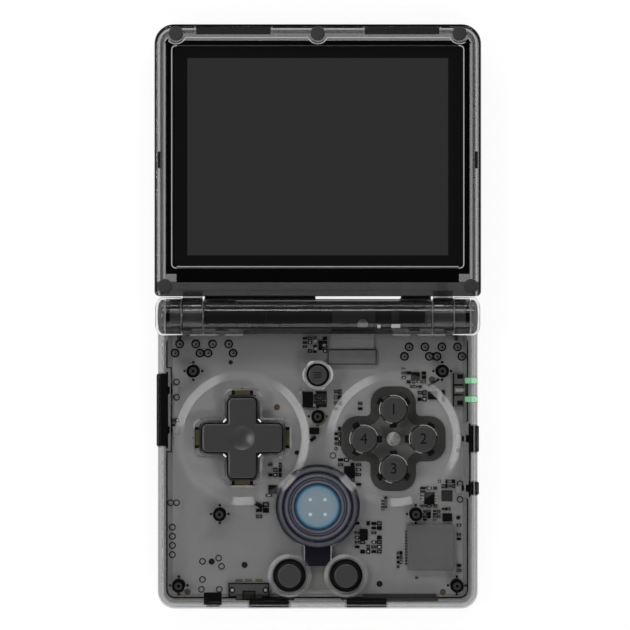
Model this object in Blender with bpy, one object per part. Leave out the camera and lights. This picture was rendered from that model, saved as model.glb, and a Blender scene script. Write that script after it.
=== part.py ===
"""A clamshell handheld game console in smoked clear plastic, lying open flat.

Metres, +Z up. The origin is on the table under the hinge axis, at the middle of the open console.
The base lies towards -Y, the lid towards +Y, and the hinge axis runs along X.
"""

import math

import bmesh
import bpy
from mathutils import Matrix, Vector

# Overall sizes
HINGE_HEIGHT = 0.0150  # hinge axis above the table
REACH = 0.0796  # hinge axis to the front edge of either half
BASE_WIDTH = 0.0872
LID_OVERHANG = 0.0009  # how far the lid stands past each side of the base
LID_THICKNESS = 0.01075
FOOT_PROUD = 0.0005  # how far the feet stand below the case

# Clearances
FACE_GAP = 0.00025  # each half stops this far short of the plane in which they close
SEAT_GAP = 0.00025  # between pieces that rest on each other
RUN_GAP = 0.00035  # between a moving piece and its guide
OVERRUN = 0.0010  # how far a cut runs past the wall
BITE = 0.0004  # how far two forms of one moulding run into each other

# Walls and outlines of the base
WALL = 0.0016
OUTER_WALL_X = BASE_WIDTH / 2
INNER_WALL_X = OUTER_WALL_X - WALL
FRONT_WALL = REACH - WALL  # hinge axis to the inside of the front wall
BASE_CORNER = 0.0047
BASE_REAR_CORNER = 0.0015
BASE_TOP_EDGE = 0.0018
BASE_FOOT_EDGE = 0.0022
BASE_REAR = 0.0042  # hinge axis to the rear wall
SEAM_LEVEL = 0.0046  # parting plane of the base's two shells
REAR_WALL_LEVEL = 0.0106

# Walls and outlines of the lid
LID_WALL = 0.0015
LID_WIDTH = BASE_WIDTH + 2 * LID_OVERHANG
LID_PLATE = 0.0014
LID_CORNER = 0.0053
LID_REAR_CORNER = 0.0014
LID_FACE_EDGE = 0.0009
LID_BACK_EDGE = 0.0030
LID_REAR = 0.0055  # hinge axis to the lid's rear wall
LID_SEAM_DEPTH = 0.0050  # face to the parting plane of the lid's two shells

# Hinge
BARREL_RADIUS = 0.0048
BARREL_BORE = 0.0034
GUTTER_RADIUS = 0.0052
GUTTER_WALL = 0.0014
GUTTER_END_ANGLE = math.radians(306)
CAP_PROUD = 0.0002  # how far the caps stand past the base's sides
CAP_LENGTH = 0.0024
KNUCKLE_LENGTH = 0.0043
EAR_LENGTH = 0.0055
HINGE_GAP = 0.0003
CAP_END = OUTER_WALL_X + CAP_PROUD
KNUCKLE_END = CAP_END - CAP_LENGTH
KNUCKLE_START = KNUCKLE_END - KNUCKLE_LENGTH
EAR_END = KNUCKLE_START - HINGE_GAP
EAR_START = EAR_END - EAR_LENGTH
BARREL_END = EAR_START - HINGE_GAP  # middle of the console to the end of the base's long barrel
CAP_POCKET_GAP = 0.00025
CAP_SPIGOT_LENGTH = 0.0009
CAP_SPIGOT_START = KNUCKLE_END - CAP_SPIGOT_LENGTH
WEB = 0.0012
NECK_UNDERSIDE = 0.0036  # hinge axis down to the underside of the ear's neck
NECK_TOP = 0.0004  # hinge axis down to the top of the ear's neck
HINGE_CORE_RADIUS = 0.00315
SHAFT_RADIUS = 0.0015
SHAFT_BORE = 0.00165
STUB_RADIUS = 0.0022
MODULE_LENGTH = 0.0166
SHAFT_ENGAGEMENT = 0.0032
SLEEVE_BORE = 0.0023
SLEEVE_OVERLAP = 0.0015

# Circuit board
BOARD_LEVEL = 0.0070  # underside
BOARD_THICKNESS = 0.0010
BOARD_SIDE_GAP = 0.0010
BOARD_FRONT_GAP = 0.0016
BOARD_HALF_WIDTH = INNER_WALL_X - BOARD_SIDE_GAP
BOARD_FRONT = FRONT_WALL - BOARD_FRONT_GAP
BOARD_REAR = 0.0052
BOARD_TAB_HALF = 0.0205
BOARD_TAB_REAR = 0.0010
BOARD_CORNER = 0.0020
BOARD_HOLE_GAP = 0.0003

# Screw bosses of the base
BOSS_RADIUS = 0.0021
BOSS_PILOT = 0.0009
PILLAR_RADIUS = 0.0026
PILLAR_SINK = 0.0020
BOSS_REAR_INSET = 0.0096
BOSS_REAR_X = OUTER_WALL_X - BOSS_REAR_INSET
BOSS_REAR_Y = 0.0149
BOSS_MIDDLE_Y = 0.0273
BOSS_BATTERY_GAP = 0.0007
BOSS_WAIST_SHARE = 0.843
BOSS_WAIST_OFFSET = 0.0131028
BOSS_WAIST_Y = BOSS_WAIST_SHARE * REACH - BOSS_WAIST_OFFSET
BOSS_FRONT_INSET = 0.0056
BOSS_FRONT_X = OUTER_WALL_X - BOSS_FRONT_INSET
BOSS_FRONT_SETBACK = 0.0061
BOSS_FRONT_Y = REACH - BOSS_FRONT_SETBACK
SCREW_RADIUS = 0.00075
SCREW_HEAD_RADIUS = 0.0016
SCREW_HEAD_HEIGHT = 0.0010
SCREW_LENGTH = 0.0065
SINK_DEPTH = 0.0022

# Dished rings and openings for the controls
DISH_DEPTH = 0.0005
DISH_SLOPE = 0.0020
PAD_DISH_RADIUS = 0.0183
SMALL_DISH_DEPTH = 0.0003
SMALL_DISH_SLOPE = 0.0009

# Cross-shaped direction pad
PAD_X_SHARE = 0.5
PAD_X_OFFSET = 0.0012
PAD_X = PAD_X_OFFSET - PAD_X_SHARE * OUTER_WALL_X
PAD_Y_SHARE = 0.4
PAD_Y_OFFSET = 0.00126
PAD_Y = -PAD_Y_SHARE * REACH - PAD_Y_OFFSET
PAD_REACH = 0.0109
PAD_ARM_HALF = 0.0040
PAD_END_RADIUS = 0.0012
PAD_INNER_RADIUS = 0.0006
PAD_PROUD = 0.0007  # how far the pad's top stands above the case
PAD_EDGE = 0.0005
PAD_DIMPLE_RADIUS = 0.0030
PAD_DIMPLE_DEPTH = 0.0004
PAD_FLANGE = 0.0010
PAD_FLANGE_THICKNESS = 0.0009
PAD_FLANGE_DROP = 0.0009  # plate's underside to the flange, so that the pad can rock
PAD_GUIDE_GAP = 0.0004
PAD_GUIDE_WALL = 0.0009
PAD_GUIDE_DEPTH = 0.0021
PIVOT_RADIUS = 0.0014
PIVOT_SOCKET = 0.0017
PIVOT_STEM = 0.0009

# Round face buttons
FACE_X_SHARE = 0.745
FACE_X_OFFSET = 0.011832
FACE_X = FACE_X_SHARE * OUTER_WALL_X - FACE_X_OFFSET
FACE_Y_SHARE = 0.45
FACE_Y_OFFSET = 0.00242
FACE_Y = FACE_Y_OFFSET - FACE_Y_SHARE * REACH
FACE_SPREAD = 0.0081
FACE_RADIUS = 0.0036
FACE_FLANGE = 0.0042
BUTTON_PROUD = 0.0006
BUTTON_EDGE = 0.0004
BUTTON_FLANGE_THICKNESS = 0.0008
BUTTON_SKIRT = 0.0010  # flange down to the foot of the button
KEY_LENGTH = 0.0050
KEY_WIDTH = 0.0018
CLUSTER_REACH = 0.0143
CLUSTER_ARM_HALF = 0.0062
CLUSTER_END_RADIUS = 0.0045
CLUSTER_INNER_RADIUS = 0.0012
HUB_RADIUS = 0.0019

# Small round buttons
MENU_Y = -0.0159
MENU_RADIUS = 0.0026
MENU_FLANGE = 0.0033
MENU_DISH = 0.0044
SMALL_X = 0.0077
SMALL_SETBACK = 0.0090
SMALL_Y = SMALL_SETBACK - REACH
SMALL_RADIUS = 0.0029
SMALL_COLLAR = 0.00365
SMALL_COLLAR_DROP = 0.0012
SMALL_FLANGE = 0.0045
SMALL_DISH = 0.0060

# Silicone sheets under the controls
SHEET_THICKNESS = 0.00035
DOME_FOOT = 0.0022
DOME_TOP = 0.0014
PAD_SHEET_REACH = 0.0106
PAD_SHEET_HALF = 0.0046
PAD_DOME_OFFSET = 0.0079
PAD_DOME_FOOT = 0.0018
PAD_DOME_TOP = 0.0012
DOME_HEIGHT = 0.0017
SMALL_SHEET_RADIUS = 0.0040

# Speaker
SPEAKER_SHARE = 0.761
SPEAKER_OFFSET = 0.0086756
SPEAKER_Y = SPEAKER_OFFSET - SPEAKER_SHARE * REACH
SPEAKER_RADIUS = 0.0112
SPEAKER_DEPTH = 0.0036
SPEAKER_MAGNET_RADIUS = 0.0070
SPEAKER_MAGNET_DEPTH = 0.0018
SPEAKER_RIM = 0.0026
SPEAKER_DOME_RADIUS = 0.0061
SPEAKER_CONE_THICKNESS = 0.0005
SPEAKER_TAIL_HALF = 0.0035
SPEAKER_TAIL_REACH = 0.0162
SPEAKER_TAIL_THICKNESS = 0.0014
SPEAKER_RING_WALL = 0.0008
SPEAKER_RING_DEPTH = 0.0012
SOUND_HOLE_RADIUS = 0.0005
SOUND_HOLE_OFFSET = 0.0020

# Side controls and lights
SIDE_CENTRE = 0.0093  # height of the side buttons' middle
SIDE_HEIGHT = 0.0030
SIDE_PROUD = 0.0004
SIDE_FLANGE = 0.0006
SIDE_FLANGE_WIDTH = 0.0005
ROCKER_SHARE = 0.3
ROCKER_OFFSET = 0.00167
ROCKER_Y = -ROCKER_SHARE * REACH - ROCKER_OFFSET
ROCKER_HALF = 0.00985
ROCKER_FLANGE_DROP = 0.0006
ROCKER_STEM_OFFSET = 0.0054
STEM_HALF = 0.0010
STEM_LENGTH = 0.0005
POWER_SHARE = 0.4
POWER_OFFSET = 0.00156
POWER_Y = -POWER_SHARE * REACH - POWER_OFFSET
POWER_HALF = 0.0036
RESET_SHARE = 0.6
RESET_OFFSET = 0.00086
RESET_Y = RESET_OFFSET - RESET_SHARE * REACH
RESET_HALF = 0.00175
SIDE_BUTTON_STEM = 0.0008
SIDE_TRAVEL_ROOM = 0.0006
SIDE_SWITCH_DEPTH = 0.0021
SIDE_SWITCH_HALF = 0.0022
SIDE_SWITCH_HEIGHT = 0.0021
SIDE_PLUNGER_LENGTH = 0.0006
SIDE_PLUNGER_HALF = 0.0006
LIGHT_REAR_Y = -0.0175
LIGHT_FRONT_Y = -0.0226
LIGHT_HALF = 0.00075
LIGHT_LENGTH = 0.0034
LIGHT_BAR = 0.0009
LIGHT_LEVEL = 0.0096
HOLDER_DEPTH = 0.0030
HOLDER_HALF = 0.0046
HOLDER_HEIGHT = 0.0024

# Shoulder buttons and their switches
SHOULDER_START = 0.0224  # middle of the console to the inner button
SHOULDER_WALL_GAP = 0.0014
SHOULDER_SPACING = 0.0010  # between the two buttons of one side
INNER_SHOULDER_SHARE = 0.4651163
SHOULDER_ROOM = INNER_WALL_X - SHOULDER_WALL_GAP - SHOULDER_START - SHOULDER_SPACING
INNER_SHOULDER_HALF = INNER_SHOULDER_SHARE * SHOULDER_ROOM / 2
OUTER_SHOULDER_HALF = SHOULDER_ROOM / 2 - INNER_SHOULDER_HALF
INNER_SHOULDER_X = SHOULDER_START + INNER_SHOULDER_HALF
OUTER_SHOULDER_X = INNER_WALL_X - SHOULDER_WALL_GAP - OUTER_SHOULDER_HALF
SHOULDER_LOW = 0.0029
SHOULDER_HIGH = 0.0076
SHOULDER_PROUD = 0.0009
SHOULDER_FLANGE = 0.0005
SHOULDER_FLANGE_THICKNESS = 0.0009
SHOULDER_STEM_HALF = 0.0015
SHOULDER_STEM_END = 0.0039  # hinge axis to the end of the stem
SHOULDER_EDGE = 0.0006
SHOULDER_SWITCH_HALF = 0.0030
SHOULDER_SWITCH_REAR = 0.0062
SHOULDER_SWITCH_FRONT = 0.0104
SHOULDER_PLUNGER_RADIUS = 0.0010
SHOULDER_PLUNGER_LENGTH = 0.0012

# Sockets and other parts on the board
USB_HALF = 0.0045
USB_DEPTH = 0.0078
USB_HEIGHT = 0.0032
USB_MOUTH_HALF = 0.0041
USB_MOUTH_HEIGHT = 0.0024
USB_MOUTH_DEPTH = 0.0055
USB_TONGUE_HALF = 0.0033
USB_TONGUE_THICKNESS = 0.0007
HDMI_X = 0.0140
HDMI_HALF = 0.0054
HDMI_DEPTH = 0.0074
CARD_SHARE = 0.3
CARD_OFFSET = 0.00022
CARD_X = CARD_SHARE * OUTER_WALL_X + CARD_OFFSET
CARD_HALF = 0.0069
CARD_DEPTH = 0.0140
CARD_HEIGHT = 0.0015
CARD_MOUTH_HALF = 0.0055
CARD_MOUTH_HEIGHT = 0.0008
CARD_MOUTH_DEPTH = 0.0110
JACK_SHARE = 0.65
JACK_OFFSET = 0.00036
JACK_X = -JACK_SHARE * OUTER_WALL_X - JACK_OFFSET
JACK_RADIUS = 0.0022
JACK_BORE = 0.0018
JACK_LENGTH = 0.0120
JACK_HOLE_GAP = 0.0002
MOUTH_GAP = 0.0004
PORT_CORNER = 0.0012
CARD_CORNER = 0.0004
BATTERY_HALF = 0.0235
BATTERY_PILLAR_GAP = 0.0011
BATTERY_CARD_GAP = 0.00175
BOSS_WAIST_X = BATTERY_HALF + PILLAR_RADIUS + BOSS_BATTERY_GAP
BATTERY_REAR = BOSS_MIDDLE_Y + PILLAR_RADIUS + BATTERY_PILLAR_GAP
BATTERY_FRONT = FRONT_WALL - SEAT_GAP - CARD_DEPTH - BATTERY_CARD_GAP
BATTERY_HEIGHT = 0.0040
BATTERY_EDGE = 0.0008
MODULE_INSET = 0.0095
MODULE_X = BOARD_HALF_WIDTH - MODULE_INSET
MODULE_SHARE = 0.867
MODULE_OFFSET = 0.0060132
MODULE_Y = MODULE_OFFSET - MODULE_SHARE * REACH
MODULE_HALF = 0.0063
MODULE_HEIGHT = 0.0018
FPC_X = 0.0094
FPC_Y = -0.0111
FPC_HALF = 0.0066
FPC_DEPTH = 0.0041
FPC_HEIGHT = 0.0014
PLUG_X = -0.0187
PLUG_SETBACK = 0.0052
PLUG_Y = PLUG_SETBACK - REACH
PLUG_HALF = 0.0057
PLUG_HALF_DEPTH = 0.0026
PLUG_HEIGHT = 0.0020
AERIAL_BOSS_GAP = 0.0051
AERIAL_LENGTH = 0.0204
AERIAL_END = BOSS_FRONT_X - AERIAL_BOSS_GAP
AERIAL_START = AERIAL_END - AERIAL_LENGTH
AERIAL_THICKNESS = 0.0008
AERIAL_LEVEL = 0.0086
AERIAL_HEIGHT = 0.0030
CHIP_HEIGHT = 0.0011
LARGE_CHIP_HALF = 0.0018
CHIP_MIDDLE_X = -0.0009
CHIP_MIDDLE_DROP = 0.0056  # menu button to the chip in front of it
CHIP_MIDDLE_Y = MENU_Y - CHIP_MIDDLE_DROP
CHIP_RIGHT_X_SHARE = 0.7
CHIP_RIGHT_X_OFFSET = 0.00032
CHIP_RIGHT_X = CHIP_RIGHT_X_SHARE * OUTER_WALL_X - CHIP_RIGHT_X_OFFSET
CHIP_RIGHT_Y_SHARE = 0.6
CHIP_RIGHT_Y_OFFSET = 0.00196
CHIP_RIGHT_Y = CHIP_RIGHT_Y_OFFSET - CHIP_RIGHT_Y_SHARE * REACH

# Ribbon cable
RIBBON = 0.0002
ROLL_RADIUS = 0.0028
ROLL_CORE = 0.0014
ROLL_TURNS = 2.5
TAIL_Y = -0.0027
TAIL_HALF = 0.0059
TAIL_SLOT_GAP = 0.0004
TAIL_TOP = 0.0017  # hinge axis down to the tail's upper end
TAIL_LEVEL = 0.0086
LID_RIBBON_INSET = 0.0013
LID_RIBBON_WIDTH = 0.0029
LID_RIBBON_START = EAR_START + LID_RIBBON_INSET
LID_RIBBON_END = LID_RIBBON_START + LID_RIBBON_WIDTH
LID_RIBBON_DEPTH = 0.0032
LID_RIBBON_NEAR = 0.0040
LID_RIBBON_FAR = 0.0120

# Feet
FOOT_RADIUS = 0.0030
FOOT_INSET = 0.0066
FOOT_X = OUTER_WALL_X - FOOT_INSET
FOOT_SETBACK = 0.0131
FOOT_FRONT_Y = REACH - FOOT_SETBACK
FOOT_REAR_Y = 0.0018

# Screen
WINDOW_SIDE_MARGIN = 0.0046
WINDOW_LOW_MARGIN = 0.0076
WINDOW_HIGH_MARGIN = 0.0057
WINDOW_HALF = LID_WIDTH / 2 - WINDOW_SIDE_MARGIN
WINDOW_LOW = LID_REAR + WINDOW_LOW_MARGIN
WINDOW_HIGH = REACH - WINDOW_HIGH_MARGIN
WINDOW_CORNER = 0.0012
LENS_THICKNESS = 0.0012
LENS_DROP = 0.0012  # the lens's face below the lid's face
PANEL_SIDE_INSET = 0.00145
PANEL_LOW_LAP = 0.0007
PANEL_HIGH_LAP = 0.0005
PANEL_HALF = WINDOW_HALF - PANEL_SIDE_INSET
PANEL_LOW = WINDOW_LOW - PANEL_LOW_LAP
PANEL_HIGH = WINDOW_HIGH + PANEL_HIGH_LAP
PANEL_THICKNESS = 0.0026
PANEL_CORNER = 0.0006
GASKET_LAP = 0.0015  # the gasket's width round the window
GASKET_HIGH_LAP = 0.0013
GASKET_TAB_LAP = 0.0038
GASKET_TAB_INSET = 0.0014
GASKET_HALF = WINDOW_HALF + GASKET_LAP
GASKET_TAB_HALF = WINDOW_HALF - GASKET_TAB_INSET
GASKET_LOW = WINDOW_LOW - GASKET_LAP
GASKET_TAB_LOW = WINDOW_LOW - GASKET_TAB_LAP
GASKET_HIGH = WINDOW_HIGH + GASKET_HIGH_LAP
GASKET_CORNER = 0.0010
GASKET_THICKNESS = 0.0007

# Lid fixings and marks
LID_BOSS_RADIUS = 0.0023
LID_TOP_SCREW_INSET = 0.0059
LID_TOP_SCREW_SETBACK = 0.0025
LID_LOW_SCREW_INSET = 0.0028
LID_TOP_SCREW_X = LID_WIDTH / 2 - LID_TOP_SCREW_INSET
LID_TOP_SCREW_Y = REACH - LID_TOP_SCREW_SETBACK
LID_LOW_SCREW_X = LID_WIDTH / 2 - LID_LOW_SCREW_INSET
LID_LOW_SCREW_Y = LID_REAR + LID_LOW_SCREW_INSET
COVER_RADIUS = 0.00195
COVER_POCKET = 0.0021
COVER_THICKNESS = 0.0012
COVER_PROUD = 0.0002
LID_SCREW_LENGTH = 0.0056
LID_PILLAR_RADIUS = 0.0022
SLOT_START = 0.0127
SLOT_SCREW_GAP = 0.0054
SLOT_SETBACK = 0.0009
SLOT_WIDTH = 0.0020
SLOT_END = LID_TOP_SCREW_X - SLOT_SCREW_GAP
SLOT_HIGH = REACH - SLOT_SETBACK
SLOT_LOW = SLOT_HIGH - SLOT_WIDTH
SLOT_DEPTH = 0.0009
STRIP_THICKNESS = 0.0005
STRIP_GAP = 0.00015
CATCH_SHARE = 0.5
CATCH_OFFSET = 0.0005
CATCH_LENGTH = 0.0047
CATCH_LOW = CATCH_SHARE * REACH + CATCH_OFFSET
CATCH_HIGH = CATCH_LOW + CATCH_LENGTH
CATCH_INSET = 0.0008
CATCH_WIDTH = 0.0010
CATCH_DEPTH = 0.0012
RIB_INSET = 0.0099
RIB_HALF = WINDOW_HALF - RIB_INSET
RIB_THICKNESS = 0.0010
RIB_LOW_SHARE = 0.3
RIB_LOW_OFFSET = 0.00212
RIB_LOW_Y = RIB_LOW_SHARE * REACH + RIB_LOW_OFFSET
RIB_HIGH_SHARE = 0.75
RIB_HIGH_OFFSET = 0.0003
RIB_HIGH_Y = RIB_HIGH_SHARE * REACH + RIB_HIGH_OFFSET
NOTCH_HALF = 0.0078
NOTCH_DEPTH = 0.0009
NOTCH_HEIGHT = 0.0024

# How finely the round forms are cut
CORNER_STEPS = 3
EDGE_STEPS = 2
CAP_STEPS = 2
FINE_SEGMENTS = 20
SEGMENTS = 14
SMALL_SEGMENTS = 8
SHARP_ANGLE = math.radians(32)

# Levels that follow from the sizes above
BASE_TOP = HINGE_HEIGHT - FACE_GAP
BASE_CEILING = BASE_TOP - WALL
BASE_UNDERSIDE = FOOT_PROUD
BASE_FLOOR = BASE_UNDERSIDE + WALL
BOARD_TOP = BOARD_LEVEL + BOARD_THICKNESS
ON_BOARD = BOARD_TOP + SEAT_GAP
UNDER_BOARD = BOARD_LEVEL - SEAT_GAP
SHEET_TOP = ON_BOARD + SHEET_THICKNESS
LID_FACE = HINGE_HEIGHT - FACE_GAP
LID_CEILING = LID_FACE - LID_PLATE
LID_BACK = LID_FACE - LID_THICKNESS
LID_FLOOR = LID_BACK + LID_WALL
LID_SEAM = LID_FACE - LID_SEAM_DEPTH
HINGE_POINT = Vector((0, 0, HINGE_HEIGHT))


def make_material(name, colour, roughness, metallic=0.0, alpha=1.0):
    """A Principled material in one colour."""
    material = bpy.data.materials.new(name)
    material.use_nodes = True
    shader = material.node_tree.nodes["Principled BSDF"]
    shader.inputs["Base Color"].default_value = (*colour, 1.0)
    shader.inputs["Roughness"].default_value = roughness
    shader.inputs["Metallic"].default_value = metallic
    shader.inputs["Alpha"].default_value = alpha
    material.diffuse_color = (*colour, alpha)
    return material


def make_materials():
    """The finishes of the console, by slot name."""
    return {
        "smoke_case": make_material("smoke_case", (0.10, 0.10, 0.11), 0.12, alpha=0.45),
        "control_grey": make_material("control_grey", (0.055, 0.055, 0.055), 0.45),
        "silicone": make_material("silicone", (0.05, 0.05, 0.05), 0.7),
        "board": make_material("board", (0.52, 0.52, 0.53), 0.5),
        "chip": make_material("chip", (0.02, 0.02, 0.02), 0.5),
        "steel": make_material("steel", (0.55, 0.55, 0.56), 0.3, metallic=1.0),
        "screen_glass": make_material("screen_glass", (0.02, 0.02, 0.02), 0.08),
        "screen_panel": make_material("screen_panel", (0.03, 0.03, 0.03), 0.4),
        "black_rubber": make_material("black_rubber", (0.01, 0.01, 0.01), 0.8),
        "battery_wrap": make_material("battery_wrap", (0.30, 0.31, 0.33), 0.5),
        "light_green": make_material("light_green", (0.35, 0.80, 0.48), 0.3),
        "speaker_film": make_material("speaker_film", (0.30, 0.45, 0.55), 0.25),
        "speaker_body": make_material("speaker_body", (0.09, 0.08, 0.13), 0.3, metallic=0.6),
        "ribbon": make_material("ribbon", (0.02, 0.018, 0.015), 0.4),
        "nickel": make_material("nickel", (0.62, 0.61, 0.58), 0.35, metallic=1.0),
    }


def arc(centre_x, centre_y, radius, start, end, steps):
    """Points on an arc, both ends included."""
    return [
        (
            centre_x + radius * math.cos(start + (end - start) * i / steps),
            centre_y + radius * math.sin(start + (end - start) * i / steps),
        )
        for i in range(steps + 1)
    ]


def rounded_outline(x_low, x_high, y_low, y_high, low_radius, high_radius, inset=0.0, steps=CORNER_STEPS):
    """A rectangle with round corners, counter-clockwise, moved inwards by inset."""
    x_low, x_high = x_low + inset, x_high - inset
    y_low, y_high = y_low + inset, y_high - inset
    least = BITE / 2
    low, high = max(low_radius - inset, least), max(high_radius - inset, least)
    quarter = math.pi / 2
    points = arc(x_high - low, y_low + low, low, -quarter, 0, steps)
    points += arc(x_high - high, y_high - high, high, 0, quarter, steps)
    points += arc(x_low + high, y_high - high, high, quarter, 2 * quarter, steps)
    points += arc(x_low + low, y_low + low, low, 2 * quarter, 3 * quarter, steps)
    return points


def plus_outline(reach, half, end_radius, inner_radius, steps=CAP_STEPS, inner_steps=1):
    """A plus sign with round outer and inner corners, counter-clockwise, about the origin."""
    quarter = math.pi / 2
    points = []
    for side in range(4):
        arm = arc(reach - end_radius, half - end_radius, end_radius, 0, quarter, steps)
        arm += arc(half + inner_radius, half + inner_radius, inner_radius, 3 * quarter, 2 * quarter, inner_steps)
        arm += arc(half - end_radius, reach - end_radius, end_radius, 0, quarter, steps)
        turn = Matrix.Rotation(side * quarter, 2)
        points += [tuple(turn @ Vector(p)) for p in arm]
    return points


def shifted(points, x, y):
    """The outline moved by x and y."""
    return [(px + x, py + y) for px, py in points]


def circle(radius, segments=SEGMENTS):
    """A circle about the origin."""
    turn = 2 * math.pi / segments
    return [(radius * math.cos(i * turn), radius * math.sin(i * turn)) for i in range(segments)]


def add_loft(bm, rings, closed=False):
    """Joins rings of equally many points into a closed body: capped at both ends, or joined end to end."""
    loops = [[bm.verts.new(p) for p in ring] for ring in rings]
    count = len(loops[0])
    faces = []
    pairs = list(zip(loops, loops[1:] + loops[:1])) if closed else list(zip(loops, loops[1:]))
    for lower, upper in pairs:
        for i in range(count):
            j = (i + 1) % count
            faces.append(bm.faces.new((lower[i], lower[j], upper[j], upper[i])))
    if not closed:
        faces.append(bm.faces.new(list(reversed(loops[0]))))
        faces.append(bm.faces.new(loops[-1]))
    bmesh.ops.recalc_face_normals(bm, faces=faces)


def at_level(points, z):
    """The outline as a ring at height z."""
    return [Vector((x, y, z)) for x, y in points]


def across(points, x):
    """An outline in Y and Z as a ring at x."""
    return [Vector((x, y, z)) for y, z in points]


def add_plate(bm, outline, low, high):
    """An upright prism from an outline in X and Y."""
    add_loft(bm, [at_level(outline, low), at_level(outline, high)])


def add_bar(bm, outline, start, end):
    """A prism along X from an outline in Y and Z."""
    add_loft(bm, [across(outline, start), across(outline, end)])


def add_block(bm, x_low, x_high, y_low, y_high, z_low, z_high):
    """A plain block between two corners."""
    corners = [(x_low, y_low), (x_high, y_low), (x_high, y_high), (x_low, y_high)]
    add_plate(bm, corners, z_low, z_high)


def add_turned(bm, profile, centre, axis="Z", segments=SEGMENTS, closed=False):
    """A body turned about an axis through centre. The profile is a list of radius and height."""
    turn = {"Z": Matrix.Identity(3), "X": Matrix.Rotation(math.pi / 2, 3, "Y"), "Y": Matrix.Rotation(-math.pi / 2, 3, "X")}
    rings = []
    for radius, height in profile:
        ring = [Vector((x, y, height)) for x, y in circle(radius, segments)]
        rings.append([turn[axis] @ p + Vector(centre) for p in ring])
    add_loft(bm, rings, closed)


def edge_profile(radius, top, edge, steps=CAP_STEPS):
    """The round-over at the top of a turned cap, from its side to its flat top."""
    return [
        (radius - edge + edge * math.cos(i * math.pi / 2 / steps), top - edge + edge * math.sin(i * math.pi / 2 / steps))
        for i in range(steps + 1)
    ]


def edge_rings(outline_at, level, edge, towards=1, steps=EDGE_STEPS):
    """Rings that round over a plate's edge. outline_at gives the outline for an inset."""
    rings = []
    for i in range(steps + 1):
        angle = i * math.pi / 2 / steps
        inset = edge * (1 - math.cos(angle))
        rings.append(at_level(outline_at(inset), level - towards * edge * (1 - math.sin(angle))))
    return rings


class Maker:
    """Makes the console's pieces and the hidden helpers that cut and join them."""

    def __init__(self):
        self.materials = make_materials()
        self.pivots = {}

    def pivot(self, name, place, parent=None):
        """An empty on a joint's axis."""
        empty = bpy.data.objects.new(name, None)
        bpy.context.scene.collection.objects.link(empty)
        self.pivots[name] = Vector(place)
        if parent:
            empty.parent = bpy.data.objects[parent]
        empty.location = Vector(place) - self.pivots.get(parent, Vector())
        return name

    def piece(self, name, build, slot, pivot=None):
        """A visible piece: build fills a mesh in the console's frame, and pivot carries it."""
        obj = self._object(name, build, pivot)
        obj.data.materials.append(self.materials[slot])
        obj.data.shade_smooth()
        obj.data.set_sharp_from_angle(angle=SHARP_ANGLE)
        return obj

    def helper(self, name, build):
        """A hidden form that cuts or joins a piece."""
        obj = self._object(name, build, None)
        obj.hide_render = True
        obj.display_type = "WIRE"
        return obj

    def _object(self, name, build, pivot):
        bm = bmesh.new()
        build(bm)
        origin = self.pivots.get(pivot, Vector())
        bmesh.ops.translate(bm, vec=-origin, verts=bm.verts)
        mesh = bpy.data.meshes.new(name)
        bm.to_mesh(mesh)
        bm.free()
        obj = bpy.data.objects.new(name, mesh)
        bpy.context.scene.collection.objects.link(obj)
        if pivot:
            obj.parent = bpy.data.objects[pivot]
        return obj

    def boolean(self, obj, operation, name, build):
        """Cuts obj with a form, or joins the form to it."""
        modifier = obj.modifiers.new(name, "BOOLEAN")
        modifier.operation = operation
        modifier.object = self.helper(name, build)

    def cut(self, obj, name, build):
        """Takes a form away from obj."""
        self.boolean(obj, "DIFFERENCE", name, build)

    def join(self, obj, name, build):
        """Adds a form to obj."""
        self.boolean(obj, "UNION", name, build)


def mirrored(x):
    """The two sides of the console."""
    return (-x, x)


def base_outline(inset=0.0):
    """The base seen from above."""
    half = BASE_WIDTH / 2
    return rounded_outline(-half, half, -REACH, BASE_REAR, BASE_CORNER, BASE_REAR_CORNER, inset)


def lid_outline(inset=0.0):
    """The open lid seen from above."""
    half = LID_WIDTH / 2
    return rounded_outline(-half, half, LID_REAR, REACH, LID_REAR_CORNER, LID_CORNER, inset)


def base_boss_places():
    """The seven screws of the base."""
    places = [(0, -BOSS_MIDDLE_Y)]
    for x, y in ((BOSS_REAR_X, BOSS_REAR_Y), (BOSS_WAIST_X, BOSS_WAIST_Y), (BOSS_FRONT_X, BOSS_FRONT_Y)):
        places += [(side, -y) for side in mirrored(x)]
    return places


def lid_boss_places():
    """The five screws of the lid."""
    places = [(0, LID_TOP_SCREW_Y)]
    places += [(side, LID_TOP_SCREW_Y) for side in mirrored(LID_TOP_SCREW_X)]
    places += [(side, LID_LOW_SCREW_Y) for side in mirrored(LID_LOW_SCREW_X)]
    return places


def face_button_places():
    """The four face buttons: name, place and the angle of the key that points at the cluster's middle."""
    quarter = math.pi / 2
    names = ("button_right", "button_top", "button_left", "button_bottom")
    return [
        (name, FACE_X + FACE_SPREAD * math.cos(i * quarter), FACE_Y + FACE_SPREAD * math.sin(i * quarter), (i + 2) * quarter)
        for i, name in enumerate(names)
    ]


def hinge_disc(radius, segments=SEGMENTS):
    """A circle about the hinge axis, in Y and Z."""
    return [(y, HINGE_HEIGHT + z) for y, z in circle(radius, segments)]


def hinge_sector(inner, outer, start, end, steps=8):
    """A curved wall about the hinge axis, in Y and Z."""
    points = arc(0, HINGE_HEIGHT, outer, start, end, steps)
    return points + arc(0, HINGE_HEIGHT, inner, end, start, steps)


def cone(radius, slope, depth):
    """The profile of a shallow dish cut from the top of the case."""
    return [(radius - slope, BASE_TOP - depth), (radius, BASE_TOP), (radius, BASE_TOP + OVERRUN)]


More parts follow.
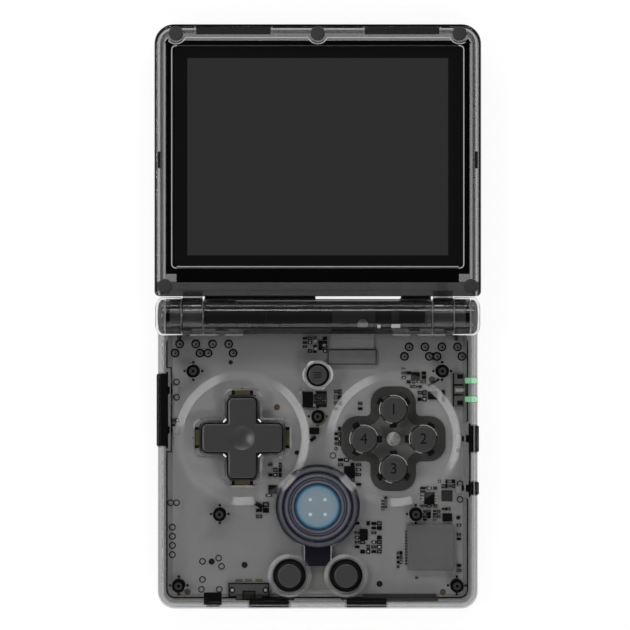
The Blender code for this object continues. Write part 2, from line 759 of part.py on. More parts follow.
def make_base_top(make):
    """The upper shell of the base, with the barrel, the control openings and the screw bosses."""
    rim = SEAM_LEVEL + SEAT_GAP / 2

    def tray(bm):
        rings = [at_level(base_outline(WALL), BASE_CEILING), at_level(base_outline(WALL), rim), at_level(base_outline(), rim)]
        add_loft(bm, rings + edge_rings(base_outline, BASE_TOP, BASE_TOP_EDGE))

    shell = make.piece("base_top_shell", tray, "smoke_case")
    gutter_outer = GUTTER_RADIUS + GUTTER_WALL
    gutter_start = math.pi + math.asin(FACE_GAP / GUTTER_RADIUS)

    def rear_room(bm):
        front = -(GUTTER_RADIUS + GUTTER_WALL / 4)
        high = BASE_TOP + OVERRUN
        add_block(bm, -KNUCKLE_START, KNUCKLE_START, front, BASE_REAR + OVERRUN, REAR_WALL_LEVEL, high)

    def gutter(bm):
        outline = hinge_sector(GUTTER_RADIUS, gutter_outer, gutter_start, GUTTER_END_ANGLE)
        add_bar(bm, outline, -KNUCKLE_START - BITE, KNUCKLE_START + BITE)

    def barrel(bm):
        add_bar(bm, hinge_disc(BARREL_RADIUS, FINE_SEGMENTS), -BARREL_END, BARREL_END)

    def barrel_seat(bm):
        inner, outer = BARREL_RADIUS - BITE, GUTTER_RADIUS + BITE
        outline = hinge_sector(inner, outer, gutter_start + math.radians(1), GUTTER_END_ANGLE - math.radians(4))
        add_bar(bm, outline, -BARREL_END, BARREL_END)

    def knuckles(bm):
        for side in (-1, 1):
            add_bar(bm, hinge_disc(BARREL_RADIUS, FINE_SEGMENTS), side * KNUCKLE_START, side * KNUCKLE_END)

    def knuckle_webs(bm):
        for side in (-1, 1):
            ends = sorted((side * (KNUCKLE_START + BITE / 4), side * (KNUCKLE_START + WEB)))
            low = HINGE_HEIGHT - gutter_outer + BITE / 4
            add_block(bm, *ends, -gutter_outer, BASE_REAR - WALL / 2, low, BASE_CEILING + BITE)

    def bore(bm):
        add_bar(bm, hinge_disc(BARREL_BORE), -KNUCKLE_END - BITE, KNUCKLE_END + BITE)

    def cap_pockets(bm):
        for side in (-1, 1):
            ends = side * KNUCKLE_END, side * (CAP_END + OVERRUN)
            add_bar(bm, hinge_disc(BARREL_RADIUS + CAP_POCKET_GAP, FINE_SEGMENTS), *ends)

    def ribbon_slot(bm):
        low, high = BOARD_TOP, HINGE_HEIGHT - TAIL_TOP + BITE
        half = TAIL_HALF + TAIL_SLOT_GAP
        add_block(bm, FPC_X - half, FPC_X + half, TAIL_Y - TAIL_SLOT_GAP, TAIL_Y + TAIL_SLOT_GAP, low, high)

    make.cut(shell, "rear_room", rear_room)
    make.join(shell, "gutter", gutter)
    make.join(shell, "barrel", barrel)
    make.join(shell, "barrel_seat", barrel_seat)
    make.join(shell, "knuckles", knuckles)
    make.join(shell, "knuckle_webs", knuckle_webs)
    make.cut(shell, "hinge_bore", bore)
    make.cut(shell, "cap_pockets", cap_pockets)
    make.cut(shell, "ribbon_slot", ribbon_slot)

    def large_dish(x, y):
        def dish(bm):
            add_turned(bm, cone(PAD_DISH_RADIUS, DISH_SLOPE, DISH_DEPTH), (x, y, 0), segments=FINE_SEGMENTS)

        return dish

    def small_dishes(bm):
        for x, y, radius in small_dish_places():
            add_turned(bm, cone(radius, SMALL_DISH_SLOPE, SMALL_DISH_DEPTH), (x, y, 0))

    def guides(bm):
        low = BASE_CEILING - PAD_GUIDE_DEPTH
        inner = PAD_FLANGE + PAD_GUIDE_GAP
        outer = inner + PAD_GUIDE_WALL
        rings = []
        for grow, level in ((inner, low), (outer, low), (outer, BASE_CEILING + BITE), (inner, BASE_CEILING + BITE)):
            outline = plus_outline(PAD_REACH + grow, PAD_ARM_HALF + grow, PAD_END_RADIUS + grow, PAD_INNER_RADIUS)
            rings.append(at_level(shifted(outline, PAD_X, PAD_Y), level))
        add_loft(bm, rings, closed=True)

    def bosses(bm):
        low = SEAM_LEVEL + SEAT_GAP / 2
        for x, y in base_boss_places():
            add_turned(bm, [(BOSS_RADIUS, low), (BOSS_RADIUS, BASE_CEILING + BITE)], (x, y, 0), segments=SMALL_SEGMENTS)
        foot = SHEET_TOP + SEAT_GAP
        add_turned(bm, [(HUB_RADIUS, foot), (HUB_RADIUS, BASE_CEILING + BITE)], (FACE_X, FACE_Y, 0), segments=SMALL_SEGMENTS)

    def speaker_ring(bm):
        inner = SPEAKER_RADIUS + RUN_GAP
        outer = inner + SPEAKER_RING_WALL
        low, high = BASE_CEILING - SPEAKER_RING_DEPTH, BASE_CEILING + BITE
        profile = [(inner, low), (outer, low), (outer, high), (inner, high)]
        add_turned(bm, profile, (0, SPEAKER_Y, 0), segments=FINE_SEGMENTS, closed=True)

    make.join(shell, "boss_posts", bosses)
    make.join(shell, "pad_guide", guides)
    make.join(shell, "speaker_ring", speaker_ring)
    make.cut(shell, "pad_dish", large_dish(PAD_X, PAD_Y))
    make.cut(shell, "cluster_dish", large_dish(FACE_X, FACE_Y))
    make.cut(shell, "small_dishes", small_dishes)

    def pad_opening(bm):
        grow = RUN_GAP
        outline = plus_outline(PAD_REACH + grow, PAD_ARM_HALF + grow, PAD_END_RADIUS + grow, PAD_INNER_RADIUS)
        add_plate(bm, shifted(outline, PAD_X, PAD_Y), BASE_CEILING - OVERRUN, BASE_TOP + OVERRUN)

    def button_openings(bm):
        low, high = BASE_CEILING - OVERRUN, BASE_TOP + OVERRUN
        holes = [(x, y, FACE_RADIUS + RUN_GAP) for name, x, y, angle in face_button_places()]
        holes.append((0, MENU_Y, MENU_RADIUS + RUN_GAP))
        holes += [(x, SMALL_Y, SMALL_COLLAR + RUN_GAP) for x in mirrored(SMALL_X)]
        for x, y, radius in holes:
            add_turned(bm, [(radius, low), (radius, high)], (x, y, 0))
        for x in mirrored(SOUND_HOLE_OFFSET):
            for y in mirrored(SOUND_HOLE_OFFSET):
                place = (x, SPEAKER_Y + y, 0)
                add_turned(bm, [(SOUND_HOLE_RADIUS, low), (SOUND_HOLE_RADIUS, high)], place, segments=SMALL_SEGMENTS)

    def pilots(bm):
        low, high = SEAM_LEVEL - OVERRUN, BASE_CEILING - WALL / 2
        for x, y in base_boss_places():
            add_turned(bm, [(BOSS_PILOT, low), (BOSS_PILOT, high)], (x, y, 0), segments=SMALL_SEGMENTS)

    make.cut(shell, "pad_opening", pad_opening)
    make.cut(shell, "button_openings", button_openings)
    make.cut(shell, "boss_pilots", pilots)
    make.cut(shell, "top_wall_openings", wall_openings)
    make.cut(shell, "finger_notch", finger_notch)
    make.cut(shell, "top_port_openings", port_openings)


def small_dish_places():
    """The dished rings round the small buttons: place and radius."""
    return [(0, MENU_Y, MENU_DISH)] + [(x, SMALL_Y, SMALL_DISH) for x in mirrored(SMALL_X)]


def wall_openings(bm):
    """Openings in the side walls for the rocker, the two side buttons and the lights."""
    low = SIDE_CENTRE - SIDE_HEIGHT / 2 - RUN_GAP
    high = SIDE_CENTRE + SIDE_HEIGHT / 2 + RUN_GAP
    inner, outer = INNER_WALL_X - OVERRUN, OUTER_WALL_X + OVERRUN
    half = ROCKER_HALF + RUN_GAP
    add_block(bm, -outer, -inner, ROCKER_Y - half, ROCKER_Y + half, low, high)
    for y, reach in ((POWER_Y, POWER_HALF), (RESET_Y, RESET_HALF)):
        add_block(bm, inner, outer, y - reach - RUN_GAP, y + reach + RUN_GAP, low, high)
    for y in (LIGHT_REAR_Y, LIGHT_FRONT_Y):
        room = LIGHT_HALF + SEAT_GAP
        add_block(bm, inner, outer, y - room, y + room, LIGHT_LEVEL - room, LIGHT_LEVEL + room)


def finger_notch(bm):
    """The shallow scoop in the front edge that a thumb opens the lid by."""
    front = -REACH
    low = BASE_TOP - NOTCH_HEIGHT
    outline = [
        (front - OVERRUN, low - NOTCH_HEIGHT / 4),
        (front + NOTCH_DEPTH, low + NOTCH_HEIGHT / 4),
        (front + NOTCH_DEPTH + BASE_TOP_EDGE / 2, BASE_TOP + OVERRUN),
        (front - OVERRUN, BASE_TOP + OVERRUN),
    ]
    add_bar(bm, outline, -NOTCH_HALF, NOTCH_HALF)


def upright_mouth(bm, x, half, low, high, corner, y_low, y_high):
    """A round-cornered opening through a wall that faces Y."""
    outline = rounded_outline(x - half, x + half, low, high, corner, corner, steps=EDGE_STEPS)
    add_loft(bm, [[Vector((px, y, pz)) for px, pz in outline] for y in (y_low, y_high)])


def usb_centre():
    """The middle height of the two sockets at the rear."""
    return UNDER_BOARD - USB_HEIGHT / 2


def card_level():
    """The middle height of the card slots."""
    return UNDER_BOARD - CARD_HEIGHT / 2


def jack_level():
    """The middle height of the headphone jack."""
    return UNDER_BOARD - JACK_RADIUS


def port_openings(bm):
    """Openings in the front and rear walls for the sockets, the cards and the shoulder buttons."""
    rear = BASE_REAR - WALL - OVERRUN / 2, BASE_REAR + OVERRUN
    front = -REACH - OVERRUN, -REACH + WALL + OVERRUN / 2
    half_height = USB_HEIGHT / 2 + MOUTH_GAP
    for x, half in ((0, USB_HALF), (-HDMI_X, HDMI_HALF)):
        low, high = usb_centre() - half_height, usb_centre() + half_height
        upright_mouth(bm, x, half + MOUTH_GAP, low, high, PORT_CORNER, *rear)
    for x, half in shoulder_places():
        low, high = SHOULDER_LOW - RUN_GAP, SHOULDER_HIGH + RUN_GAP
        upright_mouth(bm, x, half + RUN_GAP, low, high, SHOULDER_EDGE, *rear)
    for x in mirrored(CARD_X):
        low, high = card_level() - CARD_HEIGHT / 2, card_level() + CARD_HEIGHT / 2
        upright_mouth(bm, x, CARD_MOUTH_HALF + MOUTH_GAP, low, high, CARD_CORNER, *front)
    radius = JACK_BORE + JACK_HOLE_GAP
    profile = [(radius, front[0]), (radius, front[1])]
    add_turned(bm, profile, (JACK_X, 0, jack_level()), axis="Y")


def shoulder_places():
    """The four shoulder buttons: middle and half width."""
    outer = [(x, OUTER_SHOULDER_HALF) for x in mirrored(OUTER_SHOULDER_X)]
    return outer + [(x, INNER_SHOULDER_HALF) for x in mirrored(INNER_SHOULDER_X)]


def make_base_bottom(make):
    """The lower shell of the base, with its screw pillars."""
    rim = SEAM_LEVEL - SEAT_GAP / 2

    def tray(bm):
        rings = [at_level(base_outline(WALL), BASE_FLOOR), at_level(base_outline(WALL), rim), at_level(base_outline(), rim)]
        add_loft(bm, rings + edge_rings(base_outline, BASE_UNDERSIDE, BASE_FOOT_EDGE, towards=-1))

    shell = make.piece("base_bottom_shell", tray, "smoke_case")

    def pillars(bm):
        for x, y in base_boss_places():
            add_turned(bm, [(PILLAR_RADIUS, BASE_FLOOR - BITE), (PILLAR_RADIUS, rim)], (x, y, 0), segments=SMALL_SEGMENTS)

    def screw_sinks(bm):
        low = BASE_UNDERSIDE - OVERRUN
        sink = BASE_UNDERSIDE + SINK_DEPTH
        for x, y in base_boss_places():
            profile = [(PILLAR_SINK, low), (PILLAR_SINK, sink), (BOSS_PILOT, sink), (BOSS_PILOT, rim + OVERRUN)]
            add_turned(bm, profile, (x, y, 0), segments=SMALL_SEGMENTS)

    def feet(bm):
        edge = FOOT_PROUD / 2
        for x, y in foot_places():
            profile = [(FOOT_RADIUS - edge, 0), (FOOT_RADIUS, edge), (FOOT_RADIUS, BASE_UNDERSIDE + BITE)]
            add_turned(bm, profile, (x, y, 0), segments=SMALL_SEGMENTS)

    make.join(shell, "screw_pillars", pillars)
    make.join(shell, "moulded_feet", feet)
    make.cut(shell, "screw_sinks", screw_sinks)
    make.cut(shell, "bottom_port_openings", port_openings)


def foot_places():
    """The four moulded feet."""
    return [(x, y) for x in mirrored(FOOT_X) for y in (-FOOT_FRONT_Y, -FOOT_REAR_Y)]


def make_fixings(make):
    """Screws and hinge caps of the base."""
    for number, (x, y) in enumerate(base_boss_places(), 1):

        def screw(bm, x=x, y=y):
            low = BASE_UNDERSIDE + SINK_DEPTH - SEAT_GAP - SCREW_HEAD_HEIGHT
            high = low + SCREW_HEAD_HEIGHT
            profile = [(SCREW_HEAD_RADIUS, low), (SCREW_HEAD_RADIUS, high), (SCREW_RADIUS, high), (SCREW_RADIUS, high + SCREW_LENGTH)]
            add_turned(bm, profile, (x, y, 0), segments=SMALL_SEGMENTS)

        make.piece(f"case_screw_{number}", screw, "steel")
    for side, name in ((-1, "hinge_cap_left"), (1, "hinge_cap_right")):

        def cap(bm, side=side):
            depth = CAP_END - KNUCKLE_END - SEAT_GAP
            face = KNUCKLE_END + SEAT_GAP
            steps = [i * math.pi / 2 / 3 for i in range(3)]
            dome = [(BARREL_RADIUS * (0.45 + 0.55 * math.cos(a)), face + depth * (0.25 + 0.75 * math.sin(a))) for a in steps]
            dome.append((BARREL_RADIUS * 0.45, face + depth))
            profile = [(HINGE_CORE_RADIUS, CAP_SPIGOT_START), (HINGE_CORE_RADIUS, face), (BARREL_RADIUS, face)] + dome
            profile = [(radius, side * height) for radius, height in profile]
            add_turned(bm, profile, HINGE_POINT, axis="X")

        make.piece(name, cap, "smoke_case")


def make_hinge(make, lid):
    """The click hinge at the left, the hollow sleeve at the right, and the rolled ribbon between them."""
    module_start = -(BARREL_END - SEAT_GAP)

    def module(bm):
        end = module_start + MODULE_LENGTH
        depth = module_start + SHAFT_ENGAGEMENT + RUN_GAP
        profile = [(SHAFT_BORE, depth), (SHAFT_BORE, module_start), (HINGE_CORE_RADIUS, module_start), (HINGE_CORE_RADIUS, end)]
        add_turned(bm, profile, HINGE_POINT, axis="X")

    def shaft(bm):
        tip = module_start + SHAFT_ENGAGEMENT
        ear_low, ear_high = -EAR_END, -EAR_START
        profile = [
            (STUB_RADIUS, -CAP_SPIGOT_START + RUN_GAP),
            (STUB_RADIUS, ear_low),
            (HINGE_CORE_RADIUS, ear_low),
            (HINGE_CORE_RADIUS, ear_high),
            (SHAFT_RADIUS, ear_high),
            (SHAFT_RADIUS, tip),
        ]
        add_turned(bm, profile, HINGE_POINT, axis="X")

    def sleeve(bm):
        start, end = BARREL_END - SLEEVE_OVERLAP, CAP_SPIGOT_START - RUN_GAP
        profile = [(SLEEVE_BORE, start), (HINGE_CORE_RADIUS, start), (HINGE_CORE_RADIUS, end), (SLEEVE_BORE, end)]
        add_turned(bm, profile, HINGE_POINT, axis="X", closed=True)

    def roll(bm):
        start = module_start + MODULE_LENGTH + RUN_GAP
        end = BARREL_END - SLEEVE_OVERLAP - RUN_GAP
        turns, steps = ROLL_TURNS * 2 * math.pi, 22

        def spiral(offset):
            points = []
            for i in range(steps + 1):
                angle = turns * i / steps
                radius = ROLL_CORE + (ROLL_RADIUS - ROLL_CORE) * i / steps + offset
                points.append((radius * math.cos(angle), HINGE_HEIGHT + radius * math.sin(angle)))
            return points

        add_bar(bm, spiral(RIBBON) + spiral(0)[::-1], start, end)

    def tail(bm):
        top = HINGE_HEIGHT + BITE / 4
        end = FPC_Y + FPC_DEPTH / 2 + SEAT_GAP
        level = TAIL_LEVEL
        outline = [
            (TAIL_Y, top),
            (TAIL_Y - RIBBON, top),
            (TAIL_Y - RIBBON, level + RIBBON),
            (end, level + RIBBON),
            (end, level),
            (TAIL_Y, level),
        ]
        add_bar(bm, outline, FPC_X - TAIL_HALF, FPC_X + TAIL_HALF)

    make.piece("hinge_click_module", module, "steel")
    make.piece("hinge_shaft", shaft, "steel", lid)
    make.piece("hinge_sleeve", sleeve, "control_grey", lid)
    ribbon = make.piece("display_ribbon", roll, "ribbon")
    make.join(ribbon, "ribbon_tail", tail)


def board_outline():
    """The circuit board, with its side cut-outs for the side buttons and its tab for the rear sockets."""
    half, front, rear = BOARD_HALF_WIDTH, -BOARD_FRONT, -BOARD_REAR
    left = -(INNER_WALL_X - ROCKER_FLANGE_DROP - SIDE_FLANGE_WIDTH - STEM_LENGTH - SEAT_GAP)
    right = INNER_WALL_X - SEAT_GAP - SIDE_FLANGE_WIDTH - SIDE_BUTTON_STEM - SEAT_GAP
    room = SIDE_FLANGE + 2 * RUN_GAP
    right_low, right_high = RESET_Y - RESET_HALF - room, POWER_Y + POWER_HALF + room
    left_low, left_high = ROCKER_Y - ROCKER_HALF - room, ROCKER_Y + ROCKER_HALF + room
    quarter = math.pi / 2
    points = arc(-half + BOARD_CORNER, front + BOARD_CORNER, BOARD_CORNER, 2 * quarter, 3 * quarter, 3)
    points += arc(half - BOARD_CORNER, front + BOARD_CORNER, BOARD_CORNER, 3 * quarter, 4 * quarter, 3)
    points += [(half, right_low), (right, right_low), (right, right_high), (half, right_high), (half, rear)]
    points += [(BOARD_TAB_HALF, rear), (BOARD_TAB_HALF, BOARD_TAB_REAR)]
    points += [(-BOARD_TAB_HALF, BOARD_TAB_REAR), (-BOARD_TAB_HALF, rear), (-half, rear)]
    points += [(-half, left_high), (left, left_high), (left, left_low), (-half, left_low)]
    return points


def make_board(make):
    """The circuit board with its chips and plugs, and the radio module on it."""

    def plate(bm):
        add_plate(bm, board_outline(), BOARD_LEVEL, BOARD_TOP)

    board = make.piece("main_board", plate, "board")
    low, high = BOARD_LEVEL - OVERRUN, BOARD_TOP + OVERRUN

    def holes(bm):
        for x, y in base_boss_places():
            radius = BOSS_RADIUS + BOARD_HOLE_GAP
            add_turned(bm, [(radius, low), (radius, high)], (x, y, 0), segments=SMALL_SEGMENTS)
        radius = SPEAKER_RADIUS + BOARD_HOLE_GAP
        add_turned(bm, [(radius, low), (radius, high)], (0, SPEAKER_Y, 0), segments=FINE_SEGMENTS)

    def tail_slot(bm):
        half = SPEAKER_TAIL_HALF + BOARD_HOLE_GAP
        add_block(bm, -half, half, SPEAKER_Y - SPEAKER_TAIL_REACH - BOARD_HOLE_GAP, SPEAKER_Y, low, high)

    make.cut(board, "board_holes", holes)
    make.cut(board, "speaker_tail_slot", tail_slot)

    def radio(bm):
        half = MODULE_HALF
        outline = rounded_outline(-half, half, -half, half, CARD_CORNER, CARD_CORNER, steps=2)
        add_plate(bm, shifted(outline, MODULE_X, MODULE_Y), ON_BOARD, ON_BOARD + MODULE_HEIGHT)

    def ribbon_socket(bm):
        front, rear = FPC_Y - FPC_DEPTH / 2, FPC_Y + FPC_DEPTH / 2
        add_block(bm, FPC_X - FPC_HALF, FPC_X + FPC_HALF, front, rear, BOARD_TOP - BITE, BOARD_TOP + FPC_HEIGHT)

    def battery_socket(bm):
        low_y, high_y = PLUG_Y - PLUG_HALF_DEPTH / 2, PLUG_Y + PLUG_HALF_DEPTH
        add_block(bm, PLUG_X - PLUG_HALF, PLUG_X + PLUG_HALF, low_y, high_y, BOARD_TOP - BITE, BOARD_TOP + PLUG_HEIGHT)

    def chips(bm):
        places = ((CHIP_MIDDLE_X, CHIP_MIDDLE_Y), (CHIP_RIGHT_X, CHIP_RIGHT_Y))
        for x, y in places:
            half = LARGE_CHIP_HALF
            add_block(bm, x - half, x + half, y - half, y + half, BOARD_TOP - BITE, BOARD_TOP + CHIP_HEIGHT)

    make.piece("radio_module", radio, "nickel")
    make.join(board, "display_socket", ribbon_socket)
    make.join(board, "battery_socket", battery_socket)
    make.join(board, "control_chips", chips)
    return board


def make_sockets(make):
    """The charging, video, headphone and card sockets under the board."""

    def rear_socket(x, half, depth):
        def build(bm):
            top = UNDER_BOARD
            rear = BASE_REAR - WALL / 2
            outline = rounded_outline(x - half, x + half, top - USB_HEIGHT, top, PORT_CORNER, PORT_CORNER, steps=EDGE_STEPS)
            add_loft(bm, [[Vector((px, y, pz)) for px, pz in outline] for y in (rear - depth, rear)])

        def mouth(bm):
            rear = BASE_REAR - WALL / 2
            scale = half / USB_HALF
            low, high = usb_centre() - USB_MOUTH_HEIGHT / 2, usb_centre() + USB_MOUTH_HEIGHT / 2
            corner = PORT_CORNER - (USB_HEIGHT - USB_MOUTH_HEIGHT) / 2
            ends = rear - USB_MOUTH_DEPTH, rear + OVERRUN
            upright_mouth(bm, x, USB_MOUTH_HALF * scale, low, high, corner, *ends)

        def tongue(bm):
            rear = BASE_REAR - WALL / 2
            scale = half / USB_HALF
            width, thickness = USB_TONGUE_HALF * scale, USB_TONGUE_THICKNESS
            low, high = usb_centre() - thickness / 2, usb_centre() + thickness / 2
            add_block(bm, x - width, x + width, rear - USB_MOUTH_DEPTH - BITE, rear - USB_MOUTH_DEPTH / 4, low, high)

        return build, mouth, tongue

    for name, x, half, depth in (
        ("usb_socket", 0, USB_HALF, USB_DEPTH),
        ("video_socket", -HDMI_X, HDMI_HALF, HDMI_DEPTH),
    ):
        build, mouth, tongue = rear_socket(x, half, depth)
        socket = make.piece(name, build, "nickel")
        make.cut(socket, name + "_mouth", mouth)
        make.join(socket, name + "_tongue", tongue)

    front = -REACH + WALL + SEAT_GAP
    for name, x in (("card_socket_left", -CARD_X), ("card_socket_right", CARD_X)):

        def card(bm, x=x):
            top = UNDER_BOARD
            add_block(bm, x - CARD_HALF, x + CARD_HALF, front, front + CARD_DEPTH, top - CARD_HEIGHT, top)

        def card_mouth(bm, x=x):
            low, high = card_level() - CARD_MOUTH_HEIGHT / 2, card_level() + CARD_MOUTH_HEIGHT / 2
            ends = front - OVERRUN, front + CARD_MOUTH_DEPTH
            add_block(bm, x - CARD_MOUTH_HALF, x + CARD_MOUTH_HALF, *ends, low, high)

        socket = make.piece(name, card, "nickel")
        make.cut(socket, name + "_mouth", card_mouth)

    def jack(bm):
        end, depth = front + JACK_LENGTH, front + JACK_LENGTH - WALL
        profile = [(JACK_BORE, depth), (JACK_BORE, front), (JACK_RADIUS, front), (JACK_RADIUS, end)]
        add_turned(bm, profile, (JACK_X, 0, jack_level()), axis="Y")

    make.piece("headphone_jack", jack, "chip")


def make_power(make):
    """The battery and the aerial strip."""

    def battery(bm):
        def outline(inset):
            half = BATTERY_HALF
            return rounded_outline(-half, half, -BATTERY_FRONT, -BATTERY_REAR, BATTERY_EDGE * 2, BATTERY_EDGE * 2, inset, CAP_STEPS)

        low = BASE_FLOOR + SEAT_GAP
        rings = edge_rings(outline, low, BATTERY_EDGE, towards=-1, steps=1)[::-1]
        add_loft(bm, rings + edge_rings(outline, low + BATTERY_HEIGHT, BATTERY_EDGE, steps=1))

    def aerial(bm):
        front = -REACH + WALL + SEAT_GAP
        ends = front, front + AERIAL_THICKNESS
        add_block(bm, AERIAL_START, AERIAL_END, *ends, AERIAL_LEVEL, AERIAL_LEVEL + AERIAL_HEIGHT)

    make.piece("battery", battery, "battery_wrap")
    make.piece("aerial_strip", aerial, "chip")


def make_speaker(make):
    """The speaker: basket with magnet and tail, film cone and sealing ring."""
    top = BASE_CEILING - SEAT_GAP

    def basket(bm):
        low = top - SPEAKER_DEPTH
        foot = low - SPEAKER_MAGNET_DEPTH
        rim = SPEAKER_RADIUS - SPEAKER_RIM
        bowl = top - SPEAKER_DEPTH / 2
        profile = [
            (SPEAKER_MAGNET_RADIUS * 0.8, bowl),
            (rim, top - SPEAKER_CONE_THICKNESS - 2 * SEAT_GAP),
            (rim, top),
            (SPEAKER_RADIUS - 2 * BITE, top),
            (SPEAKER_RADIUS, top - 2 * BITE),
            (SPEAKER_RADIUS, low),
            (SPEAKER_MAGNET_RADIUS, low),
            (SPEAKER_MAGNET_RADIUS, foot),
        ]
        add_turned(bm, profile, (0, SPEAKER_Y, 0), segments=FINE_SEGMENTS)

    def tail(bm):
        level = BOARD_LEVEL
        front = SPEAKER_Y - SPEAKER_TAIL_REACH
        rear = SPEAKER_Y - SPEAKER_RADIUS + 2 * BITE
        high = top - SPEAKER_DEPTH + SPEAKER_TAIL_THICKNESS
        add_block(bm, -SPEAKER_TAIL_HALF, SPEAKER_TAIL_HALF, front, rear, max(level, top - SPEAKER_DEPTH) + BITE, high)

    body = make.piece("speaker_basket", basket, "speaker_body")
    make.join(body, "speaker_tail", tail)

    def film(bm):
        edge = SPEAKER_RADIUS - SPEAKER_RIM - SEAT_GAP
        level = top - SPEAKER_CONE_THICKNESS
        dome = SPEAKER_DOME_RADIUS
        profile = [
            (edge, level - SEAT_GAP),
            (edge, level),
            ((edge + dome) / 2, level + SPEAKER_CONE_THICKNESS / 2),
            (dome, level),
            (dome * 0.4, level + SPEAKER_CONE_THICKNESS * 0.75),
        ]
        add_turned(bm, profile, (0, SPEAKER_Y, 0), segments=FINE_SEGMENTS)

    make.piece("speaker_film", film, "speaker_film")


def dome_profile(foot, top, height):
    """A rubber dome that stands on its sheet."""
    low = SHEET_TOP - SHEET_THICKNESS / 2
    return [(foot, low), (foot, SHEET_TOP), (top, SHEET_TOP + height * 0.8), (top * 0.7, SHEET_TOP + height)]


def make_sheets(make):
    """The silicone sheets with their domes."""
    low = ON_BOARD

    def pad_sheet(bm):
        outline = plus_outline(PAD_SHEET_REACH, PAD_SHEET_HALF, PAD_END_RADIUS, PAD_INNER_RADIUS, steps=1)
        add_plate(bm, shifted(outline, PAD_X, PAD_Y), low, SHEET_TOP)

    def pad_domes(bm):
        for i in range(4):
            angle = i * math.pi / 2
            place = (PAD_X + PAD_DOME_OFFSET * math.cos(angle), PAD_Y + PAD_DOME_OFFSET * math.sin(angle), 0)
            add_turned(bm, dome_profile(PAD_DOME_FOOT, PAD_DOME_TOP, DOME_HEIGHT), place, segments=SMALL_SEGMENTS)

    def cluster_sheet(bm):
        outline = plus_outline(CLUSTER_REACH, CLUSTER_ARM_HALF, CLUSTER_END_RADIUS, CLUSTER_INNER_RADIUS, steps=CORNER_STEPS, inner_steps=CAP_STEPS)
        add_plate(bm, shifted(outline, FACE_X, FACE_Y), low, SHEET_TOP)

    def cluster_domes(bm):
        for name, x, y, angle in face_button_places():
            add_turned(bm, dome_profile(DOME_FOOT, DOME_TOP, DOME_HEIGHT), (x, y, 0), segments=SMALL_SEGMENTS)

    def menu_sheet(bm):
        profile = [(MENU_FLANGE, low), (MENU_FLANGE, SHEET_TOP), *dome_profile(DOME_FOOT, DOME_TOP, DOME_HEIGHT)[1:]]
        add_turned(bm, profile, (0, MENU_Y, 0), segments=SMALL_SEGMENTS)

    def lower_sheet(bm):
        reach, half = SMALL_X + SMALL_SHEET_RADIUS, SMALL_SHEET_RADIUS
        outline = rounded_outline(-reach, reach, SMALL_Y - half, SMALL_Y + half, half, half, steps=CORNER_STEPS)
        add_plate(bm, outline, low, SHEET_TOP)

    def lower_domes(bm):
        for x in mirrored(SMALL_X):
            add_turned(bm, dome_profile(DOME_FOOT, DOME_TOP, DOME_HEIGHT), (x, SMALL_Y, 0), segments=SMALL_SEGMENTS)

    sheet = make.piece("pad_silicone", pad_sheet, "silicone")
    make.join(sheet, "pad_domes", pad_domes)
    cluster = make.piece("face_button_silicone", cluster_sheet, "silicone")
    make.join(cluster, "cluster_domes", cluster_domes)
    make.piece("menu_silicone", menu_sheet, "silicone")
    lower = make.piece("lower_silicone", lower_sheet, "silicone")
    make.join(lower, "lower_domes", lower_domes)


def pad_levels():
    """The pad's underside, the top of its flange and its top."""
    flange_top = BASE_CEILING - PAD_FLANGE_DROP
    return flange_top - PAD_FLANGE_THICKNESS, flange_top, BASE_TOP + PAD_PROUD


def make_direction_pad(make):
    """The cross pad and the ball-topped post that it rocks on, each on its own pivot."""
    underside, flange_top, top = pad_levels()
    centre = Vector((PAD_X, PAD_Y, underside))
    fore_aft = make.pivot("pad_fore_aft_axis", centre)
    sideways = make.pivot("pad_sideways_axis", centre, fore_aft)

    def cross(bm):
        def outline(inset):
            reach, half = PAD_REACH - inset, PAD_ARM_HALF - inset
            end_radius = PAD_END_RADIUS - min(inset, 0)
            return shifted(plus_outline(reach, half, end_radius, PAD_INNER_RADIUS), PAD_X, PAD_Y)

        flange = outline(-PAD_FLANGE)
        rings = [at_level(flange, underside), at_level(flange, flange_top), at_level(outline(0), flange_top)]
        add_loft(bm, rings + edge_rings(outline, top, PAD_EDGE, steps=CAP_STEPS))

    def socket(bm):
        steps = [i * math.pi / 2 / 4 for i in range(4)]
        profile = [(PIVOT_SOCKET, -OVERRUN)] + [(PIVOT_SOCKET * math.cos(a), PIVOT_SOCKET * math.sin(a)) for a in steps]
        add_turned(bm, profile, centre, segments=SMALL_SEGMENTS)

    def dimple(bm):
        low = top - PAD_DIMPLE_DEPTH
        profile = [(PAD_DIMPLE_RADIUS * 0.3, low), (PAD_DIMPLE_RADIUS * 0.7, low + PAD_DIMPLE_DEPTH * 0.35)]
        profile += [(PAD_DIMPLE_RADIUS, top), (PAD_DIMPLE_RADIUS, top + OVERRUN)]
        add_turned(bm, profile, (PAD_X, PAD_Y, 0))

    def post(bm):
        foot = SHEET_TOP + SEAT_GAP - underside
        steps = [-math.pi / 3 + i * math.pi / 6 for i in range(5)]
        ball = [(PIVOT_RADIUS * math.cos(a), PIVOT_RADIUS * math.sin(a)) for a in steps]
        add_turned(bm, [(PIVOT_STEM, foot), (PIVOT_STEM, ball[0][1] - BITE), *ball], centre, segments=SMALL_SEGMENTS)

    pad = make.piece("direction_pad", cross, "control_grey", sideways)
    make.cut(pad, "pad_socket", socket)
    make.cut(pad, "pad_dimple", dimple)
    make.piece("direction_pad_pivot", post, "steel", fore_aft)


def button_levels():
    """The foot of a round button, the foot and top of its flange, and its top."""
    flange_top = BASE_CEILING - SEAT_GAP
    flange_low = flange_top - BUTTON_FLANGE_THICKNESS
    return flange_low - BUTTON_SKIRT, flange_low, flange_top, BASE_TOP + BUTTON_PROUD


